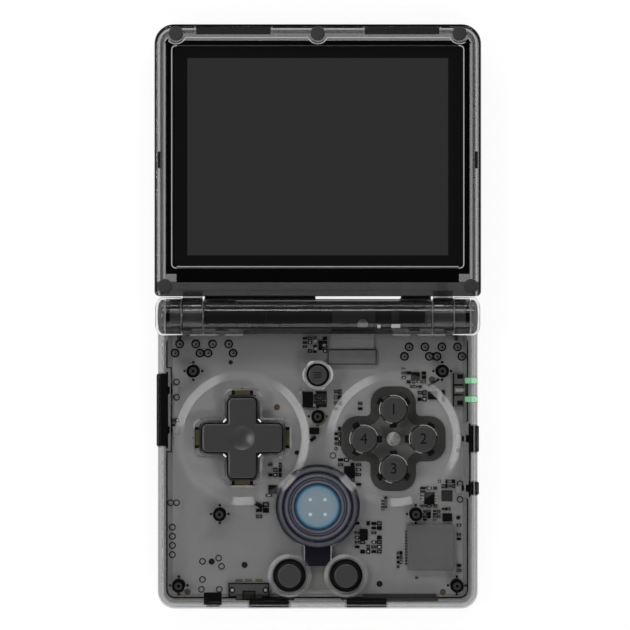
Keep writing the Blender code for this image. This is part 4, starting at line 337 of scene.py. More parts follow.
def dress(obj, finish, body, replaces=(), bevel=0.0):
    """Finishes a piece.

    It gets its material, smooth shading with crisp edges, a small bevel, and its place in the frame.
    """
    obj.data.materials.clear()
    obj.data.materials.append(FINISHES[finish])
    obj.data.shade_smooth()
    obj.data.set_sharp_from_angle(angle=SHARP)
    if bevel:
        modifier = obj.modifiers.new("edge", "BEVEL")
        modifier.width, modifier.segments = bevel * MM, 2
        modifier.limit_method, modifier.angle_limit = "ANGLE", BEVELLED
        modifier.harden_normals = True
    modifier = obj.modifiers.new("normals", "WEIGHTED_NORMAL")
    modifier.keep_sharp = True
    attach(obj, body)
    if replaces:
        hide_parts(*replaces)


def piece(name, surface, finish, body, replaces=(), bevel=0.0, carving=()):
    """A new piece from a surface, carved and finished."""
    obj = mesh_object(name, surface)
    closed_up(obj)
    if carving:
        carve(obj, *carving)
    dress(obj, finish, body, replaces, bevel)


def refined(node, name, finish, body, bevel=0.12):
    """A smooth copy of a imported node: its triangles merged into faces, its edges eased."""
    obj = linked(name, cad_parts[node].data.copy())
    bm = bmesh.new()
    bm.from_mesh(obj.data)
    bmesh.ops.remove_doubles(bm, verts=bm.verts, dist=TOUCHING)
    bmesh.ops.dissolve_limit(bm, angle_limit=FLAT, verts=bm.verts, edges=bm.edges)
    bm.to_mesh(obj.data)
    bm.free()
    dress(obj, finish, body, (node,), bevel)


# Finishes

class Link:
    """A shader socket that takes part in arithmetic, adding a Math node for each step."""

    def __init__(self, tree, socket):
        self.tree, self.socket = tree, socket

    def math(self, operation, *values):
        """One Math node on these values."""
        node = self.tree.nodes.new("ShaderNodeMath")
        node.operation = operation
        for slot, value in zip(node.inputs, values):
            if isinstance(value, Link):
                self.tree.links.new(value.socket, slot)
            else:
                slot.default_value = value
        return Link(self.tree, node.outputs[0])

    def __add__(self, other):
        return self.math("ADD", self, other)

    def __radd__(self, other):
        return self.math("ADD", other, self)

    def __sub__(self, other):
        return self.math("SUBTRACT", self, other)

    def __rsub__(self, other):
        return self.math("SUBTRACT", other, self)

    def __mul__(self, other):
        return self.math("MULTIPLY", self, other)

    def __rmul__(self, other):
        return self.math("MULTIPLY", other, self)

    def __truediv__(self, other):
        return self.math("DIVIDE", self, other)

    def __pow__(self, other):
        return self.math("POWER", self, other)

    def __lt__(self, other):
        return self.math("LESS_THAN", self, other)

    def __gt__(self, other):
        return self.math("GREATER_THAN", self, other)

    def __abs__(self):
        return self.math("ABSOLUTE", self)

    def least(self, other):
        """The smaller of two values."""
        return self.math("MINIMUM", self, other)

    def most(self, other):
        """The larger of two values."""
        return self.math("MAXIMUM", self, other)

    def root(self):
        """The square root."""
        return self.math("SQRT", self)

    def clamped(self):
        """The value held between 0 and 1."""
        return self.most(0.0).least(1.0)


class Finish:
    """A material being made, kept by name in FINISHES: one Principled shader and what feeds it."""

    def __init__(self, name, colour, roughness, metallic=0.0, alpha=1.0, **constants):
        material = FINISHES[name] = bpy.data.materials.new(name)
        material.use_nodes = True
        self.tree = material.node_tree
        self.shader = self.tree.nodes["Principled BSDF"]
        self.set("Base Color", (*colour, 1.0))
        self.set("Roughness", roughness)
        self.set("Metallic", metallic)
        self.set("Alpha", alpha)
        for key, value in constants.items():
            self.set(key.replace("_", " "), value)
        material.diffuse_color = (*colour, 1.0)

    def set(self, socket, value):
        """A constant, or a link, on one of the shader's sockets."""
        if isinstance(value, Link):
            self.tree.links.new(value.socket, self.shader.inputs[socket])
        else:
            self.shader.inputs[socket].default_value = value

    def node(self, kind, settings=None, out=0, **sockets):
        """Any other node: its settings first, then its sockets' values or links."""
        node = self.tree.nodes.new("ShaderNode" + kind)
        for key, value in (settings or {}).items():
            if key == "stops":
                ramp = node.color_ramp
                while len(ramp.elements) < len(value):
                    ramp.elements.new(0.5)
                for element, (position, colour) in zip(ramp.elements, value):
                    element.position, element.color = position, colour
            else:
                setattr(node, key, value)
        for key, value in sockets.items():
            numbered = key[0] == "i" and key[1:].isdigit()
            slot = node.inputs[int(key[1:]) if numbered else key.replace("_", " ")]
            if isinstance(value, Link):
                self.tree.links.new(value.socket, slot)
            else:
                slot.default_value = value
        return Link(self.tree, node.outputs[out])

    def place(self):
        """Object coordinates."""
        return self.node("TexCoord", out="Object")

    def axes(self):
        """X, Y and Z in millimetres."""
        node = self.node("SeparateXYZ", Vector=self.place()).socket.node
        return [Link(self.tree, output) * (1 / MM) for output in node.outputs]

    def noise(self, scale, detail=3.0):
        """Smooth noise, with its scale in waves per metre."""
        return self.node("TexNoise", Vector=self.place(), Scale=scale, Detail=detail, Roughness=0.5)

    def mix(self, factor, first, second):
        """Two colours mixed."""
        return self.node("Mix", {"data_type": "RGBA"}, out=2, i0=factor, i6=first, i7=second)

    def bump(self, height, strength=0.2, distance=0.00002):
        """A bump from a height, with its distance in metres."""
        self.set("Normal", self.node("Bump", Strength=strength, Distance=distance, Height=height))


def rgb(red, green=None, blue=None):
    """A colour with full alpha: one grey, or three parts."""
    return (red, red if green is None else green, red if blue is None else blue, 1.0)


def scaled(colour, by):
    """A colour made lighter or darker, at most white."""
    return rgb(*[min(c * by, 1) for c in colour])


def band(value, low, high, soft=0.08):
    """1 where a value lies between low and high, with soft edges."""
    return ((value - low) * (1 / soft)).clamped() * ((high - value) * (1 / soft)).clamped()


def edge_distance(finish, x0, x1, y0, y1, radius):
    """Distance inwards from a rectangle with round corners.

    With q = |p - centre| - (half size - r), it is r less the length of q's positive part and the larger of q's
    negative parts.
    """
    x, y, _ = finish.axes()
    qx = abs(x - (x0 + x1) / 2) - ((x1 - x0) / 2 - radius)
    qy = abs(y - (y0 + y1) / 2) - ((y1 - y0) / 2 - radius)
    outside = (qx.most(0.0) ** 2.0 + qy.most(0.0) ** 2.0).root()
    inside = qx.most(qy).least(0.0)
    return radius - (outside + inside)


POLISHED = 0.06
SATIN = 0.6
PLASTIC_IOR = 1.52
EDGE_SOFT = 0.12
BARREL_INSIDE = 4.2


def polish(finish):
    """The faint unevenness of a polished surface."""
    return finish.noise(300.0, 1.0) * 0.006


def smoke_finish(
    name, look, alpha, edges=None, turned_depth=None, rings=(), rear=False, lid=False, inner_satin=False, gloss=0.6,
):
    """Smoked clear plastic, thin where it faces you and deeper where it turns away.

    edges makes its walls deeper by their distance from the outline and lays pale and dark bands along them, the
    painted highlights and painted shade of light bent in the walls. rings are the satin edges of its dishes, paler
    all round, with painted highlights stronger towards given angles. rear paints shade on the wall at the hinge,
    lid paints shade on the lid's far rim and deepens its strip at the hinge, and inner_satin is the inside of a
    barrel.
    """
    tint = tuple(look.tint)
    f = Finish(name, tint, POLISHED, alpha=alpha)
    f.set("IOR", PLASTIC_IOR)
    f.set("Specular IOR Level", gloss)
    turned = f.node("LayerWeight", Blend=0.5, out="Facing")
    turn_depth = look.edge_depth if turned_depth is None else turned_depth
    depth = alpha + (turned ** 2.2) * (turn_depth - alpha)
    colour = rgb(*tint)
    satin = POLISHED
    x, y, z = f.axes()
    if inner_satin:
        away = (y * y + (z - HINGE_Z) * (z - HINGE_Z)).root()
        satin = (away < BARREL_INSIDE) * SATIN + satin
    if edges:
        distance = edge_distance(f, *edges["box"])
        for low, high, level in edges["depths"]:
            depth = depth + band(distance, low, high, EDGE_SOFT) * (level - alpha)
        # Pale bands are painted highlights and dark bands are painted shade, from light bent in the walls
        for low, high, strength, grey in edges["painted_bands"]:
            mask = band(distance, low, high, EDGE_SOFT)
            depth = depth + mask * strength
            colour = f.mix(mask, colour, rgb(grey))
    if lid:
        depth = depth + band(y, 5.0, 9.6, 0.2) * 0.17
        # Painted shade: the lid's far rim is black, with its reflection taken away
        rim = band(y, 78.95, 80.0, 0.06)
        depth = depth + rim
        colour = f.mix(rim, colour, rgb(0.0005))
        satin = rim * SATIN + satin
        f.set("Metallic", rim.clamped())
    for cx, cy, low, high, strength, base, highlight_lobes in rings:
        u, v = x - cx, y - cy
        away = (u * u + v * v).root()
        share = base
        # Each lobe is a painted highlight on the part of the ring that lies towards its angle
        for angle, reach in highlight_lobes:
            a = math.radians(angle)
            facing = (u * math.cos(a) + v * math.sin(a)) / away
            edge = math.cos(math.radians(reach))
            share = ((facing - edge) * (1.6 / (1 - edge))).clamped() + share
        mask = band(away, low, high, 0.3) * (z > TOP - 0.62) * share
        depth = depth + mask * strength
        colour = f.mix(mask.clamped(), colour, rgb(0.36))
        satin = mask * 0.15 + satin
    if rear:
        # Painted shade on the wall at the hinge
        depth = depth + band(y, 1.9, 5.2, 0.2) * (abs(x) < 36.95) * 0.7
    f.set("Base Color", colour)
    f.set("Alpha", depth.clamped())
    f.set("Roughness", polish(f) + satin)


def clear_finishes(look):
    """The smoked plastics of the case and the clear silicone."""
    # Outlines that the walls follow, left open towards the hinge
    base_box = (-43.6, 43.6, -79.6, 40.0, 4.7)
    lid_box = (-44.5, 44.5, -40.0, 79.6, 5.3)
    # Depths of tint by distance from the outline, and bands of painted highlight and painted shade
    base_edges = {
        "box": base_box, "depths": [(0.0, 1.7, 0.24), (1.7, 4.2, 0.40)], "painted_bands": [(0.7, 1.2, 0.08, 0.33)],
    }
    lid_edges = {
        "box": lid_box,
        "depths": [(0.6, 1.75, 0.29)],
        "painted_bands": [(-0.3, 0.5, 0.45, 0.003), (1.0, 1.6, 0.07, 0.40), (1.75, 2.05, 0.34, 0.01)],
    }
    # Satin rings, paler all round and with painted highlights: place, radii, strength, its least share, and where
    # the painted highlight is stronger as angle and reach
    satin_rings_and_highlights = [
        (*place, 16.0, 18.45, 0.15, 0.2, ((140, 36), (14, 46), (low, 11), (petal, 9)))
        for place, petal, low in ((PAD, -44, 271), (CLUSTER, 224, 277))
    ]
    satin_rings_and_highlights += [(x, LOWER_KEY_Y, 4.8, 6.1, 0.10, 0.35, ((140, 60),)) for _, x in LOWER_KEYS]
    smoke_finish("base_smoke", look, look.smoke, base_edges, turned_depth=0.42, rings=satin_rings_and_highlights, rear=True, gloss=0.25)
    smoke_finish("base_under_smoke", look, look.smoke + 0.07, base_edges, turned_depth=0.42, rear=True)
    smoke_finish("lid_smoke", look, look.lid_smoke, lid_edges, lid=True)
    smoke_finish("plain_smoke", look, 0.42)
    smoke_finish("barrel_smoke", look, 0.40, inner_satin=True)
    f = Finish("cap_smoke", tuple(look.tint), POLISHED, alpha=0.5)
    turned = f.node("LayerWeight", Blend=0.5, out="Facing")
    f.set("Alpha", (band(turned, 0.44, 0.66, 0.08) * 0.45 - (turned > 0.7) * 0.38 + 0.45).clamped())
    f.set("Roughness", polish(f) + POLISHED)
    f = Finish("clear_silicone", (0.30, 0.30, 0.29), 0.35, alpha=0.22)
    f.set("Roughness", f.noise(1500.0) * 0.2 + 0.25)
    f = Finish("film_clear", (0.03, 0.03, 0.03), 0.3, alpha=0.2)
    f.set("Roughness", f.noise(500.0) * 0.1 + 0.3)


def key_finishes(look):
    """The keys' moulded plastic, the side keys with painted light on their outer faces, and the marks."""
    f = Finish("key_plastic", tuple(look.key), 0.42, Specular_IOR_Level=0.35)
    grain = f.noise(6000.0, 2.0)
    f.set("Base Color", f.mix(f.noise(260.0) * 0.5, rgb(*look.key), scaled(look.key, 1.18)))
    f.set("Roughness", grain * 0.06 + 0.27)
    f.bump(grain, 0.05, 0.00001)
    f = Finish("side_key", tuple(look.key), 0.45, Specular_IOR_Level=0.12)
    x, _, z = f.axes()
    # Painted light: the outer faces are lighter than the rest of the key
    outer = band(abs(x), 42.9, 45.0, 0.08) * (z > 11.25)
    f.set("Base Color", f.mix(outer, rgb(0.0015), rgb(0.42)))
    f.set("Roughness", f.noise(3000.0) * 0.1 + 0.4)
    f = Finish("key_mark", (0.003, 0.003, 0.003), 0.6, Specular_IOR_Level=0.1)
    f.bump(f.noise(5000.0), 0.1, 0.00001)


def board_finish(look):
    """The board's solder mask: clouded, with copper lanes, painted light under the dishes and painted shade at the
    rear.
    """
    f = Finish("board_mask", tuple(look.board), 0.42)
    cloud = f.noise(45.0, 4.0)
    x, y, _ = f.axes()
    lanes = (f.noise(260.0, 1.0) > 0.56) * 0.5 + (f.noise(520.0, 1.0) > 0.60) * 0.5
    shade = f.mix(cloud, scaled(look.board, 0.92), scaled(look.board, 1.08))
    shade = f.mix(lanes * 0.35, shade, scaled(look.board, 0.90))
    # Painted light: paler round the pad and the face keys, taking away their shadow
    for cx, cy in (PAD, CLUSTER):
        away = ((x - cx) * (x - cx) + (y - cy) * (y - cy)).root()
        shade = f.mix(((19.0 - away) * 0.25).clamped() * 0.5, shade, scaled(look.board, 1.6))
    # Painted shade: darker towards the rear, near the hinge
    far = ((y + 13.0) * 0.12).clamped()
    f.set("Base Color", f.mix(far, shade, scaled(look.board, 0.72)))
    f.set("Roughness", cloud * 0.1 + 0.36)
    f.bump(lanes, 0.10, 0.00002)


def plain(name, colour, roughness, metallic=0.0, scale=1200.0, bump=0.08, **constants):
    """A finish of one colour, a little lighter and darker from place to place, with a fine grain."""
    f = Finish(name, colour, roughness, metallic, **constants)
    shift = f.noise(scale)
    f.set("Base Color", f.mix(shift, scaled(colour, 0.88), scaled(colour, 1.12)))
    f.set("Roughness", shift * 0.1 + (roughness - 0.05))
    f.bump(shift, bump, 0.00002)


def plain_finishes():
    """Silicone, metals, rubber, and the board's small parts."""
    plain("silicone_band", (0.125, 0.122, 0.118), 0.55, scale=300.0, bump=0.15)
    plain("silicone_mid", (0.36, 0.358, 0.345), 0.5, scale=300.0, bump=0.15)
    plain("silicone_pale", (0.55, 0.545, 0.53), 0.5, scale=300.0, bump=0.1)
    plain("silicone_clear", (0.64, 0.63, 0.62), 0.5, scale=300.0, bump=0.1)
    plain("gold_pad", (0.30, 0.26, 0.14), 0.4, scale=500.0)
    plain("copper_spot", (0.20, 0.14, 0.08), 0.45)
    plain("pin_grey", (0.34, 0.34, 0.33), 0.4, scale=700.0)
    plain("glass_pale", (0.46, 0.46, 0.46), 0.4)
    plain("strip_grey", (0.15, 0.15, 0.15), 0.5)
    plain("dark_pad", (0.020, 0.020, 0.018), 0.5)
    plain("olive_dark", (0.055, 0.052, 0.036), 0.5)
    plain("post_black", (0.002, 0.002, 0.002), 0.6, Specular_IOR_Level=0.1)
    plain("post_grey", (0.085, 0.085, 0.085), 0.5)
    plain("pin_dark", (0.20, 0.20, 0.205), 0.4, 0.2)
    plain("chip_black", (0.006, 0.006, 0.007), 0.5, Specular_IOR_Level=0.2)
    plain("part_dark", (0.055, 0.053, 0.050), 0.5)
    plain("part_mid", (0.24, 0.24, 0.23), 0.5)
    plain("part_pale", (0.80, 0.79, 0.76), 0.5)
    # edge_pale, edge_green and edge_white colour painted highlights
    plain("edge_pale", (0.34, 0.34, 0.34), 0.3)
    plain("edge_green", (0.34, 0.37, 0.31), 0.4)
    plain("rim_grey", (0.10, 0.10, 0.10), 0.3)
    plain("plug_grey", (0.17, 0.17, 0.17), 0.5, scale=400.0)
    plain("edge_white", (0.95, 0.95, 0.95), 0.4)
    plain("side_black", (0.004, 0.004, 0.004), 0.5, Specular_IOR_Level=0.2)
    plain("steel", (0.55, 0.55, 0.56), 0.28, 1.0)
    plain("nickel", (0.60, 0.59, 0.56), 0.34, 1.0)
    plain("shield", (0.30, 0.30, 0.30), 0.5, 0.1, scale=400.0)
    plain("socket_grey", (0.33, 0.33, 0.33), 0.5, scale=400.0)
    plain("rubber_black", (0.0025, 0.0025, 0.0025), 0.65, Specular_IOR_Level=0.3)
    plain("rubber_grey", (0.020, 0.020, 0.020), 0.6, Specular_IOR_Level=0.3)
    plain("gasket_black", (0.0012, 0.0012, 0.0012), 0.7, Specular_IOR_Level=0.05)
    plain("battery_foil", (0.34, 0.35, 0.37), 0.4, 0.3, scale=120.0)
    plain("hinge_grease", (0.0015, 0.0015, 0.0015), 0.5, Specular_IOR_Level=0.1)


def patterned_finishes(look):
    """The finishes with a pattern of their own: the lid's painted edge highlight, the display ribbon, the speaker,
    lights and lens.
    """
    # Painted highlight, brighter along the far edge than along the sides
    f = Finish("edge_glint_pale", (0.34, 0.34, 0.34), 0.3)
    _, y, _ = f.axes()
    f.set("Base Color", f.mix(y > 74.4, rgb(0.24), rgb(0.34)))
    f.set("Roughness", f.noise(700.0) * 0.1 + 0.25)

    f = Finish("film_dark", (0.002, 0.002, 0.002), 0.5, Specular_IOR_Level=0.12)
    x, y, _ = f.axes()
    pale = band(x, 3.9, 15.7, 0.1) + band(x, 20.0, 22.1, 0.1)
    inside = f.mix(pale.clamped(), rgb(0.002), rgb(0.045, 0.045, 0.047))
    f.set("Base Color", f.mix(y < -4.6, inside, rgb(0.50)))
    f.set("Roughness", f.noise(500.0) * 0.1 + 0.4)

    # The speaker's ring, from its middle out to 12 mm: dark and pale rings painted as the shade and highlights of
    # its ridges, and a grey outer rim
    f = Finish("speaker_metal", (0.03, 0.03, 0.04), 0.25)
    x, y, _ = f.axes()
    away = (x ** 2.0 + (y - SPEAKER_Y) ** 2.0).root() * (1 / 12.0)
    deep, dark = rgb(0.015, 0.015, 0.025), rgb(0.07, 0.07, 0.10)
    mid, pale = rgb(0.28, 0.29, 0.38), rgb(0.52, 0.53, 0.66)
    ridges = [
        (0.0, dark), (0.525, deep), (0.545, mid), (0.575, pale), (0.605, dark), (0.635, mid),
        (0.66, deep), (0.685, mid), (0.71, pale), (0.735, mid), (0.765, dark), (0.79, deep),
        (0.81, dark), (0.84, rgb(0.33, 0.33, 0.39)), (0.88, rgb(0.22, 0.22, 0.27)), (0.93, deep),
    ]
    colour = f.node("ValToRGB", {"stops": ridges}, Fac=away)
    swirl = f.noise(220.0, 2.0)
    f.set("Base Color", f.mix(swirl * 0.5, colour, rgb(0.05, 0.05, 0.08)))
    f.set("Roughness", swirl * 0.15 + 0.18)

    f = Finish("light_guide", (0.50, 0.95, 0.60), 0.25, Emission_Strength=0.75)
    f.set("Emission Color", rgb(0.42, 0.95, 0.55))
    f.set("Roughness", f.noise(800.0) * 0.1 + 0.2)

    # The speaker's film, pale blue to its dark rim 6.6 mm out
    f = Finish("dome_film", (0.20, 0.36, 0.46), 0.2, Coat_Weight=0.6)
    x, y, _ = f.axes()
    away = (x ** 2.0 + (y - SPEAKER_Y) ** 2.0).root()
    blues = [
        (0.0, rgb(0.66, 0.80, 0.90)), (0.62, rgb(0.62, 0.80, 0.93)), (0.80, rgb(0.45, 0.74, 0.95)),
        (0.86, rgb(0.10, 0.40, 0.66)), (0.91, rgb(0.02, 0.12, 0.26)), (0.95, rgb(0.01, 0.01, 0.02)),
    ]
    colour = f.node("ValToRGB", {"stops": blues}, Fac=away * (1 / 6.6))
    f.set("Base Color", f.mix(f.noise(900.0) * 0.15, colour, rgb(0.62, 0.74, 0.82)))
    f.set("Roughness", f.noise(900.0) * 0.1 + 0.15)

    # The lens: black border round the grey of the unlit screen
    f = Finish("lens_glass", tuple(look.border), 0.05, Specular_IOR_Level=0.12)
    x, y, _ = f.axes()
    lit = band(x, -35.6, 35.6, 0.15) * band(y, 16.6, 70.5, 0.15)
    haze = f.noise(14.0, 1.0) * 0.12 + 0.94
    f.set("Base Color", f.mix(lit, rgb(*look.border), rgb(*look.screen)))
    f.set("Roughness", haze * POLISHED)


# Sizes and colours

class ConsoleLook(bpy.types.PropertyGroup):
    """Sizes and colours of the console's looks."""

    smoke: bpy.props.FloatProperty(
        name="Smoke", description="How much one face of the clear base holds back", default=0.28, min=0.0, max=1.0,
        subtype="FACTOR",
    )
    lid_smoke: bpy.props.FloatProperty(
        name="Lid smoke", description="How much one face of the clear lid holds back", default=0.34, min=0.0,
        max=1.0, subtype="FACTOR",
    )
    edge_depth: bpy.props.FloatProperty(
        name="Edge depth", description="How much the case holds back where it turns away", default=0.93, min=0.0,
        max=1.0, subtype="FACTOR",
    )
    tint: bpy.props.FloatVectorProperty(
        name="Case tint", description="Colour of the smoked case", default=(0.003, 0.003, 0.0032), size=3,
        subtype="COLOR",
    )
    key: bpy.props.FloatVectorProperty(
        name="Key colour", description="Colour of the keys", default=(0.031, 0.031, 0.031), size=3, subtype="COLOR",
    )
    board: bpy.props.FloatVectorProperty(
        name="Board colour", description="Colour of the circuit board", default=(0.57, 0.57, 0.57), size=3,
        subtype="COLOR",
    )
    border: bpy.props.FloatVectorProperty(
        name="Border colour", description="Printed border of the lens", default=(0.0050, 0.0050, 0.0052), size=3,
        subtype="COLOR",
    )
    screen: bpy.props.FloatVectorProperty(
        name="Screen colour", description="Unlit screen behind the lens", default=(0.0235, 0.0235, 0.0240), size=3,
        subtype="COLOR",
    )
    camera_height: bpy.props.FloatProperty(
        name="Camera height", description="Camera above the table", default=1.6, min=0.3, unit="LENGTH",
        subtype="DISTANCE",
    )
    view_width: bpy.props.FloatProperty(
        name="View width", description="Width that the camera takes in at the case's top", default=0.1715, min=0.05,
        unit="LENGTH", subtype="DISTANCE",
    )
    floor_size: bpy.props.FloatProperty(
        name="Floor size", description="Side of the pale floor", default=6.0, min=1.0, unit="LENGTH",
        subtype="DISTANCE",
    )
    lamp_level: bpy.props.FloatProperty(
        name="Lamp level", description="Strength of all lamps", default=1.0, min=0.0, subtype="FACTOR", max=4.0,
    )


def look_of(context):
    """The look settings."""
    return context.scene.console_look


class CONSOLE_OT_finishes(bpy.types.Operator):
    """Make the finishes of the console"""
    bl_idname = "console.finishes"
    bl_label = "Finishes"

    def execute(self, context):
        look = look_of(context)
        clear_finishes(look)
        key_finishes(look)
        board_finish(look)
        plain_finishes()
        patterned_finishes(look)
        return {"FINISHED"}


# Lamps: name, azimuth from +X, degrees off overhead, length and width in metres, watts, and whether gloss shows it
LAMPS = (
    ("lamp_far", 90, 42, 0.70, 0.12, 2.6, True),
    ("lamp_far_low", 90, 73, 0.70, 0.07, 1.2, True),
    ("lamp_left", 180, 31, 0.34, 0.16, 1.8, True),
    ("lamp_near_right", -50, 30, 0.26, 0.20, 1.7, False),
    ("lamp_near", -90, 58, 0.60, 0.30, 1.6, True),
)
LAMP_DISTANCE = 0.75
SENSOR = 36
CAMERA_X, CAMERA_Y = -0.00075, 0.00041


def any_ray(tree, first, *kinds):
    """1 for any of these kinds of ray."""
    rays = tree.nodes.new("ShaderNodeLightPath")
    seen = Link(tree, rays.outputs[first])
    for kind in kinds:
        seen = seen.most(Link(tree, rays.outputs[kind]))
    return seen


class CONSOLE_OT_stage(bpy.types.Operator):
    """Make the floor, the lamps and the camera"""
    bl_idname = "console.stage"
    bl_label = "Stage"

    def execute(self, context):
        look = look_of(context)
        self.make_floor(look.floor_size / 2 / MM)
        self.make_world(context.scene)
        for lamp in LAMPS:
            self.make_lamp(look.lamp_level, *lamp)
        data = bpy.data.cameras.new("camera")
        data.sensor_width = SENSOR
        data.lens = SENSOR * (look.camera_height - TOP * MM) / look.view_width
        data.clip_end = 20
        camera = linked("camera", data)
        camera.location = (CAMERA_X, CAMERA_Y, look.camera_height)
        context.scene.camera = camera
        context.scene.view_settings.view_transform = "Standard"
        return {"FINISHED"}

    def make_floor(self, half):
        """A pale floor: grey under the lamps, so it keeps the shadow, and lit evenly where it is seen."""
        level = -0.02
        corners = [(-half, -half, level), (half, -half, level), (half, half, level), (-half, half, level)]
        floor = mesh_object("floor", (corners, [[0, 1, 2, 3]]))
        paper = bpy.data.materials.new("paper")
        paper.use_nodes = True
        tree = paper.node_tree
        tree.nodes.clear()
        diffuse = tree.nodes.new("ShaderNodeBsdfDiffuse")
        glow = tree.nodes.new("ShaderNodeEmission")
        seen = any_ray(tree, "Is Camera Ray", "Is Glossy Ray", "Is Transmission Ray")
        strength = seen * 0.86
        tree.links.new(strength.socket, glow.inputs["Strength"])
        tint = tree.nodes.new("ShaderNodeCombineColor")
        grey = 0.8 - seen * 0.64
        for channel in tint.inputs:
            tree.links.new(grey.socket, channel)
        tree.links.new(tint.outputs[0], diffuse.inputs["Color"])
        add = tree.nodes.new("ShaderNodeAddShader")
        out = tree.nodes.new("ShaderNodeOutputMaterial")
        tree.links.new(diffuse.outputs[0], add.inputs[0])
        tree.links.new(glow.outputs[0], add.inputs[1])
        tree.links.new(add.outputs[0], out.inputs[0])
        floor.data.materials.append(paper)

    def make_world(self, scene):
        """White to the camera; to all else a grey that is brightest at the horizon."""
        scene.world = bpy.data.worlds.new("studio")
        scene.world.use_nodes = True
        tree = scene.world.node_tree
        tree.nodes.clear()
        where = tree.nodes.new("ShaderNodeTexCoord")
        split = tree.nodes.new("ShaderNodeSeparateXYZ")
        tree.links.new(where.outputs["Generated"], split.inputs[0])
        height = Link(tree, split.outputs[2]).most(0.0)
        ambient = (0.52 - height * 0.54).most(0.0)
        strength = ambient.most(any_ray(tree, "Is Camera Ray"))
        back = tree.nodes.new("ShaderNodeBackground")
        out = tree.nodes.new("ShaderNodeOutputWorld")
        tree.links.new(strength.socket, back.inputs["Strength"])
        tree.links.new(back.outputs[0], out.inputs[0])

    def make_lamp(self, level, name, azimuth, off_top, length, width, power, gloss):
        """A soft lamp that faces the console."""
        data = bpy.data.lights.new(name, "AREA")
        data.shape = "RECTANGLE"
        data.size, data.size_y = length, width
        data.energy = power * level
        lamp = linked(name, data)
        a, t = math.radians(azimuth), math.radians(off_top)
        away = Vector((math.cos(a) * math.sin(t), math.sin(a) * math.sin(t), math.cos(t)))
        lamp.location = away * LAMP_DISTANCE
        lamp.rotation_euler = away.to_track_quat("Z", "Y").to_euler()
        lamp.visible_camera = False
        lamp.visible_glossy = gloss


# Case

CUT, JOIN = "DIFFERENCE", "UNION"


def base_outline(inset=0.0, steps=12):
    """The base seen from above, moved in by inset."""
    return rounded(-43.6, 43.6, -79.6, 4.2, 4.7, 1.5, inset, steps)


def lid_outline(inset=0.0, steps=12):
    """The lid seen from above, moved in by inset."""
    return rounded(-44.5, 44.5, 5.5, 79.6, 1.4, 5.3, inset, steps)


def window_outline(inset=0.0):
    """The lid's window seen from above, moved in by inset."""
    return rounded(-39.9, 39.9, 13.1, 73.9, 1.2, 1.2, inset, 10)


def tray(outline_at, rim, face, wall, ceiling, edge, inner_edge, steps=8):
    """A shell open at its rim.

    It runs up the inside with a quarter round to the ceiling, and from the rim up the outside to a quarter round
    at the face.
    """
    way = 1 if face > rim else -1
    angle = np.linspace(0, RIGHT_ANGLE, steps + 1)
    inside = [
        lift(outline_at(wall + inner_edge * (1 - np.cos(a))), ceiling - way * inner_edge * (1 - np.sin(a)))
        for a in angle
    ]
    outside = [lift(outline_at(edge * (1 - np.cos(a))), face - way * edge * (1 - np.sin(a))) for a in angle]
    return skin(inside[::-1] + [lift(outline_at(wall), rim), lift(outline_at(0.0), rim)] + outside)


def bar(y0, y1, z0, z1, x0, x1):
    """A plain box, given by its reach in Y, in Z and in X."""
    return plate(np.array([(x0, y0), (x1, y0), (x1, y1), (x0, y1)]), z0, z1)


def soft_bar(x0, x1, y0, y1, z0, z1, edge=0.15):
    """A box with its upright and upper edges eased."""
    return soft_plate(lambda inset: rounded(x0, x1, y0, y1, edge * 2, edge * 2, inset, 3), z0, z1, edge, 3)


def hinge_ring(inner, outer, start, end, steps=28):
    """A curved wall about the hinge axis, as an outline in Y and Z."""
    return arc_band(inner, outer, np.linspace(start, end, steps)) + (0, HINGE_Z)


def on_hinge(profile, steps=56, closed=False):
    """A surface turned about the hinge axis, from its radius and its place in X."""
    return lathe(profile, (0, 0, HINGE_Z), "X", steps, closed)


def tube_x(inner, outer, x0, x1, edge=0.25):
    """A tube about the hinge axis between x0 and x1, with eased rims."""
    profile = [(inner, x0), (outer - edge, x0), (outer - edge * 0.3, x0 + edge * 0.3), (outer, x0 + edge)]
    profile += [(outer, x1 - edge), (outer - edge * 0.3, x1 - edge * 0.3), (outer - edge, x1), (inner, x1)]
    return on_hinge(profile, 72, closed=True)


def dish(x, y, radius, slope, depth, far):
    """A shallow dish as a cutting form: its side falls by depth (1 - t t (3 - 2 t)) over the slope."""
    ease = np.linspace(0, 1, 7)
    profile = [(radius - slope + slope * t, TOP - depth * (1 - (t * t * (3 - 2 * t)))) for t in ease]
    return lathe(profile + [(radius, far)], (x, y, 0), steps=96)


def key_places():
    """Each face key's node, place, the way to the cluster's middle, and its numeral."""
    return [
        (node, CLUSTER[0] + dx, CLUSTER[1] + dy, inward, numeral)
        for node, dx, dy, inward, numeral in FACE_KEYS
    ]


def port_forms():
    """The openings in the front and rear walls."""
    def mouth(x, half, low, high, corner, y0, y1):
        """A round-cornered opening through a wall between y0 and y1."""
        outline = rounded(x - half, x + half, low, high, corner, corner, 0.0, 5)
        points, faces = skin([lift(outline, 0.0), lift(outline, 1.0)])
        points = np.column_stack([points[:, 0], y0 + (y1 - y0) * points[:, 2], points[:, 1]])
        return points, faces

    forms = [mouth(x, half + 0.4, 3.15, 7.15, 1.2, 1.9, 6.0) for x, half in ((0.0, 4.5), (-14.0, 5.4))]
    shoulders = ((-36.0, 4.6), (36.0, 4.6), (-26.4, 4.0), (26.4, 4.0))
    forms += [mouth(x, half + 0.35, 2.55, 7.95, 0.7, 1.9, 6.0) for x, half in shoulders]
    forms += [mouth(x, 5.9, 5.2, 6.8, 0.5, -81.0, -77.4) for x in (-13.3, 13.3)]
    forms.append(lathe([(2.0, -81.0), (2.0, -77.4)], (JACK_X, 0, JACK_Z), "Y", 40))
    return merged(forms)


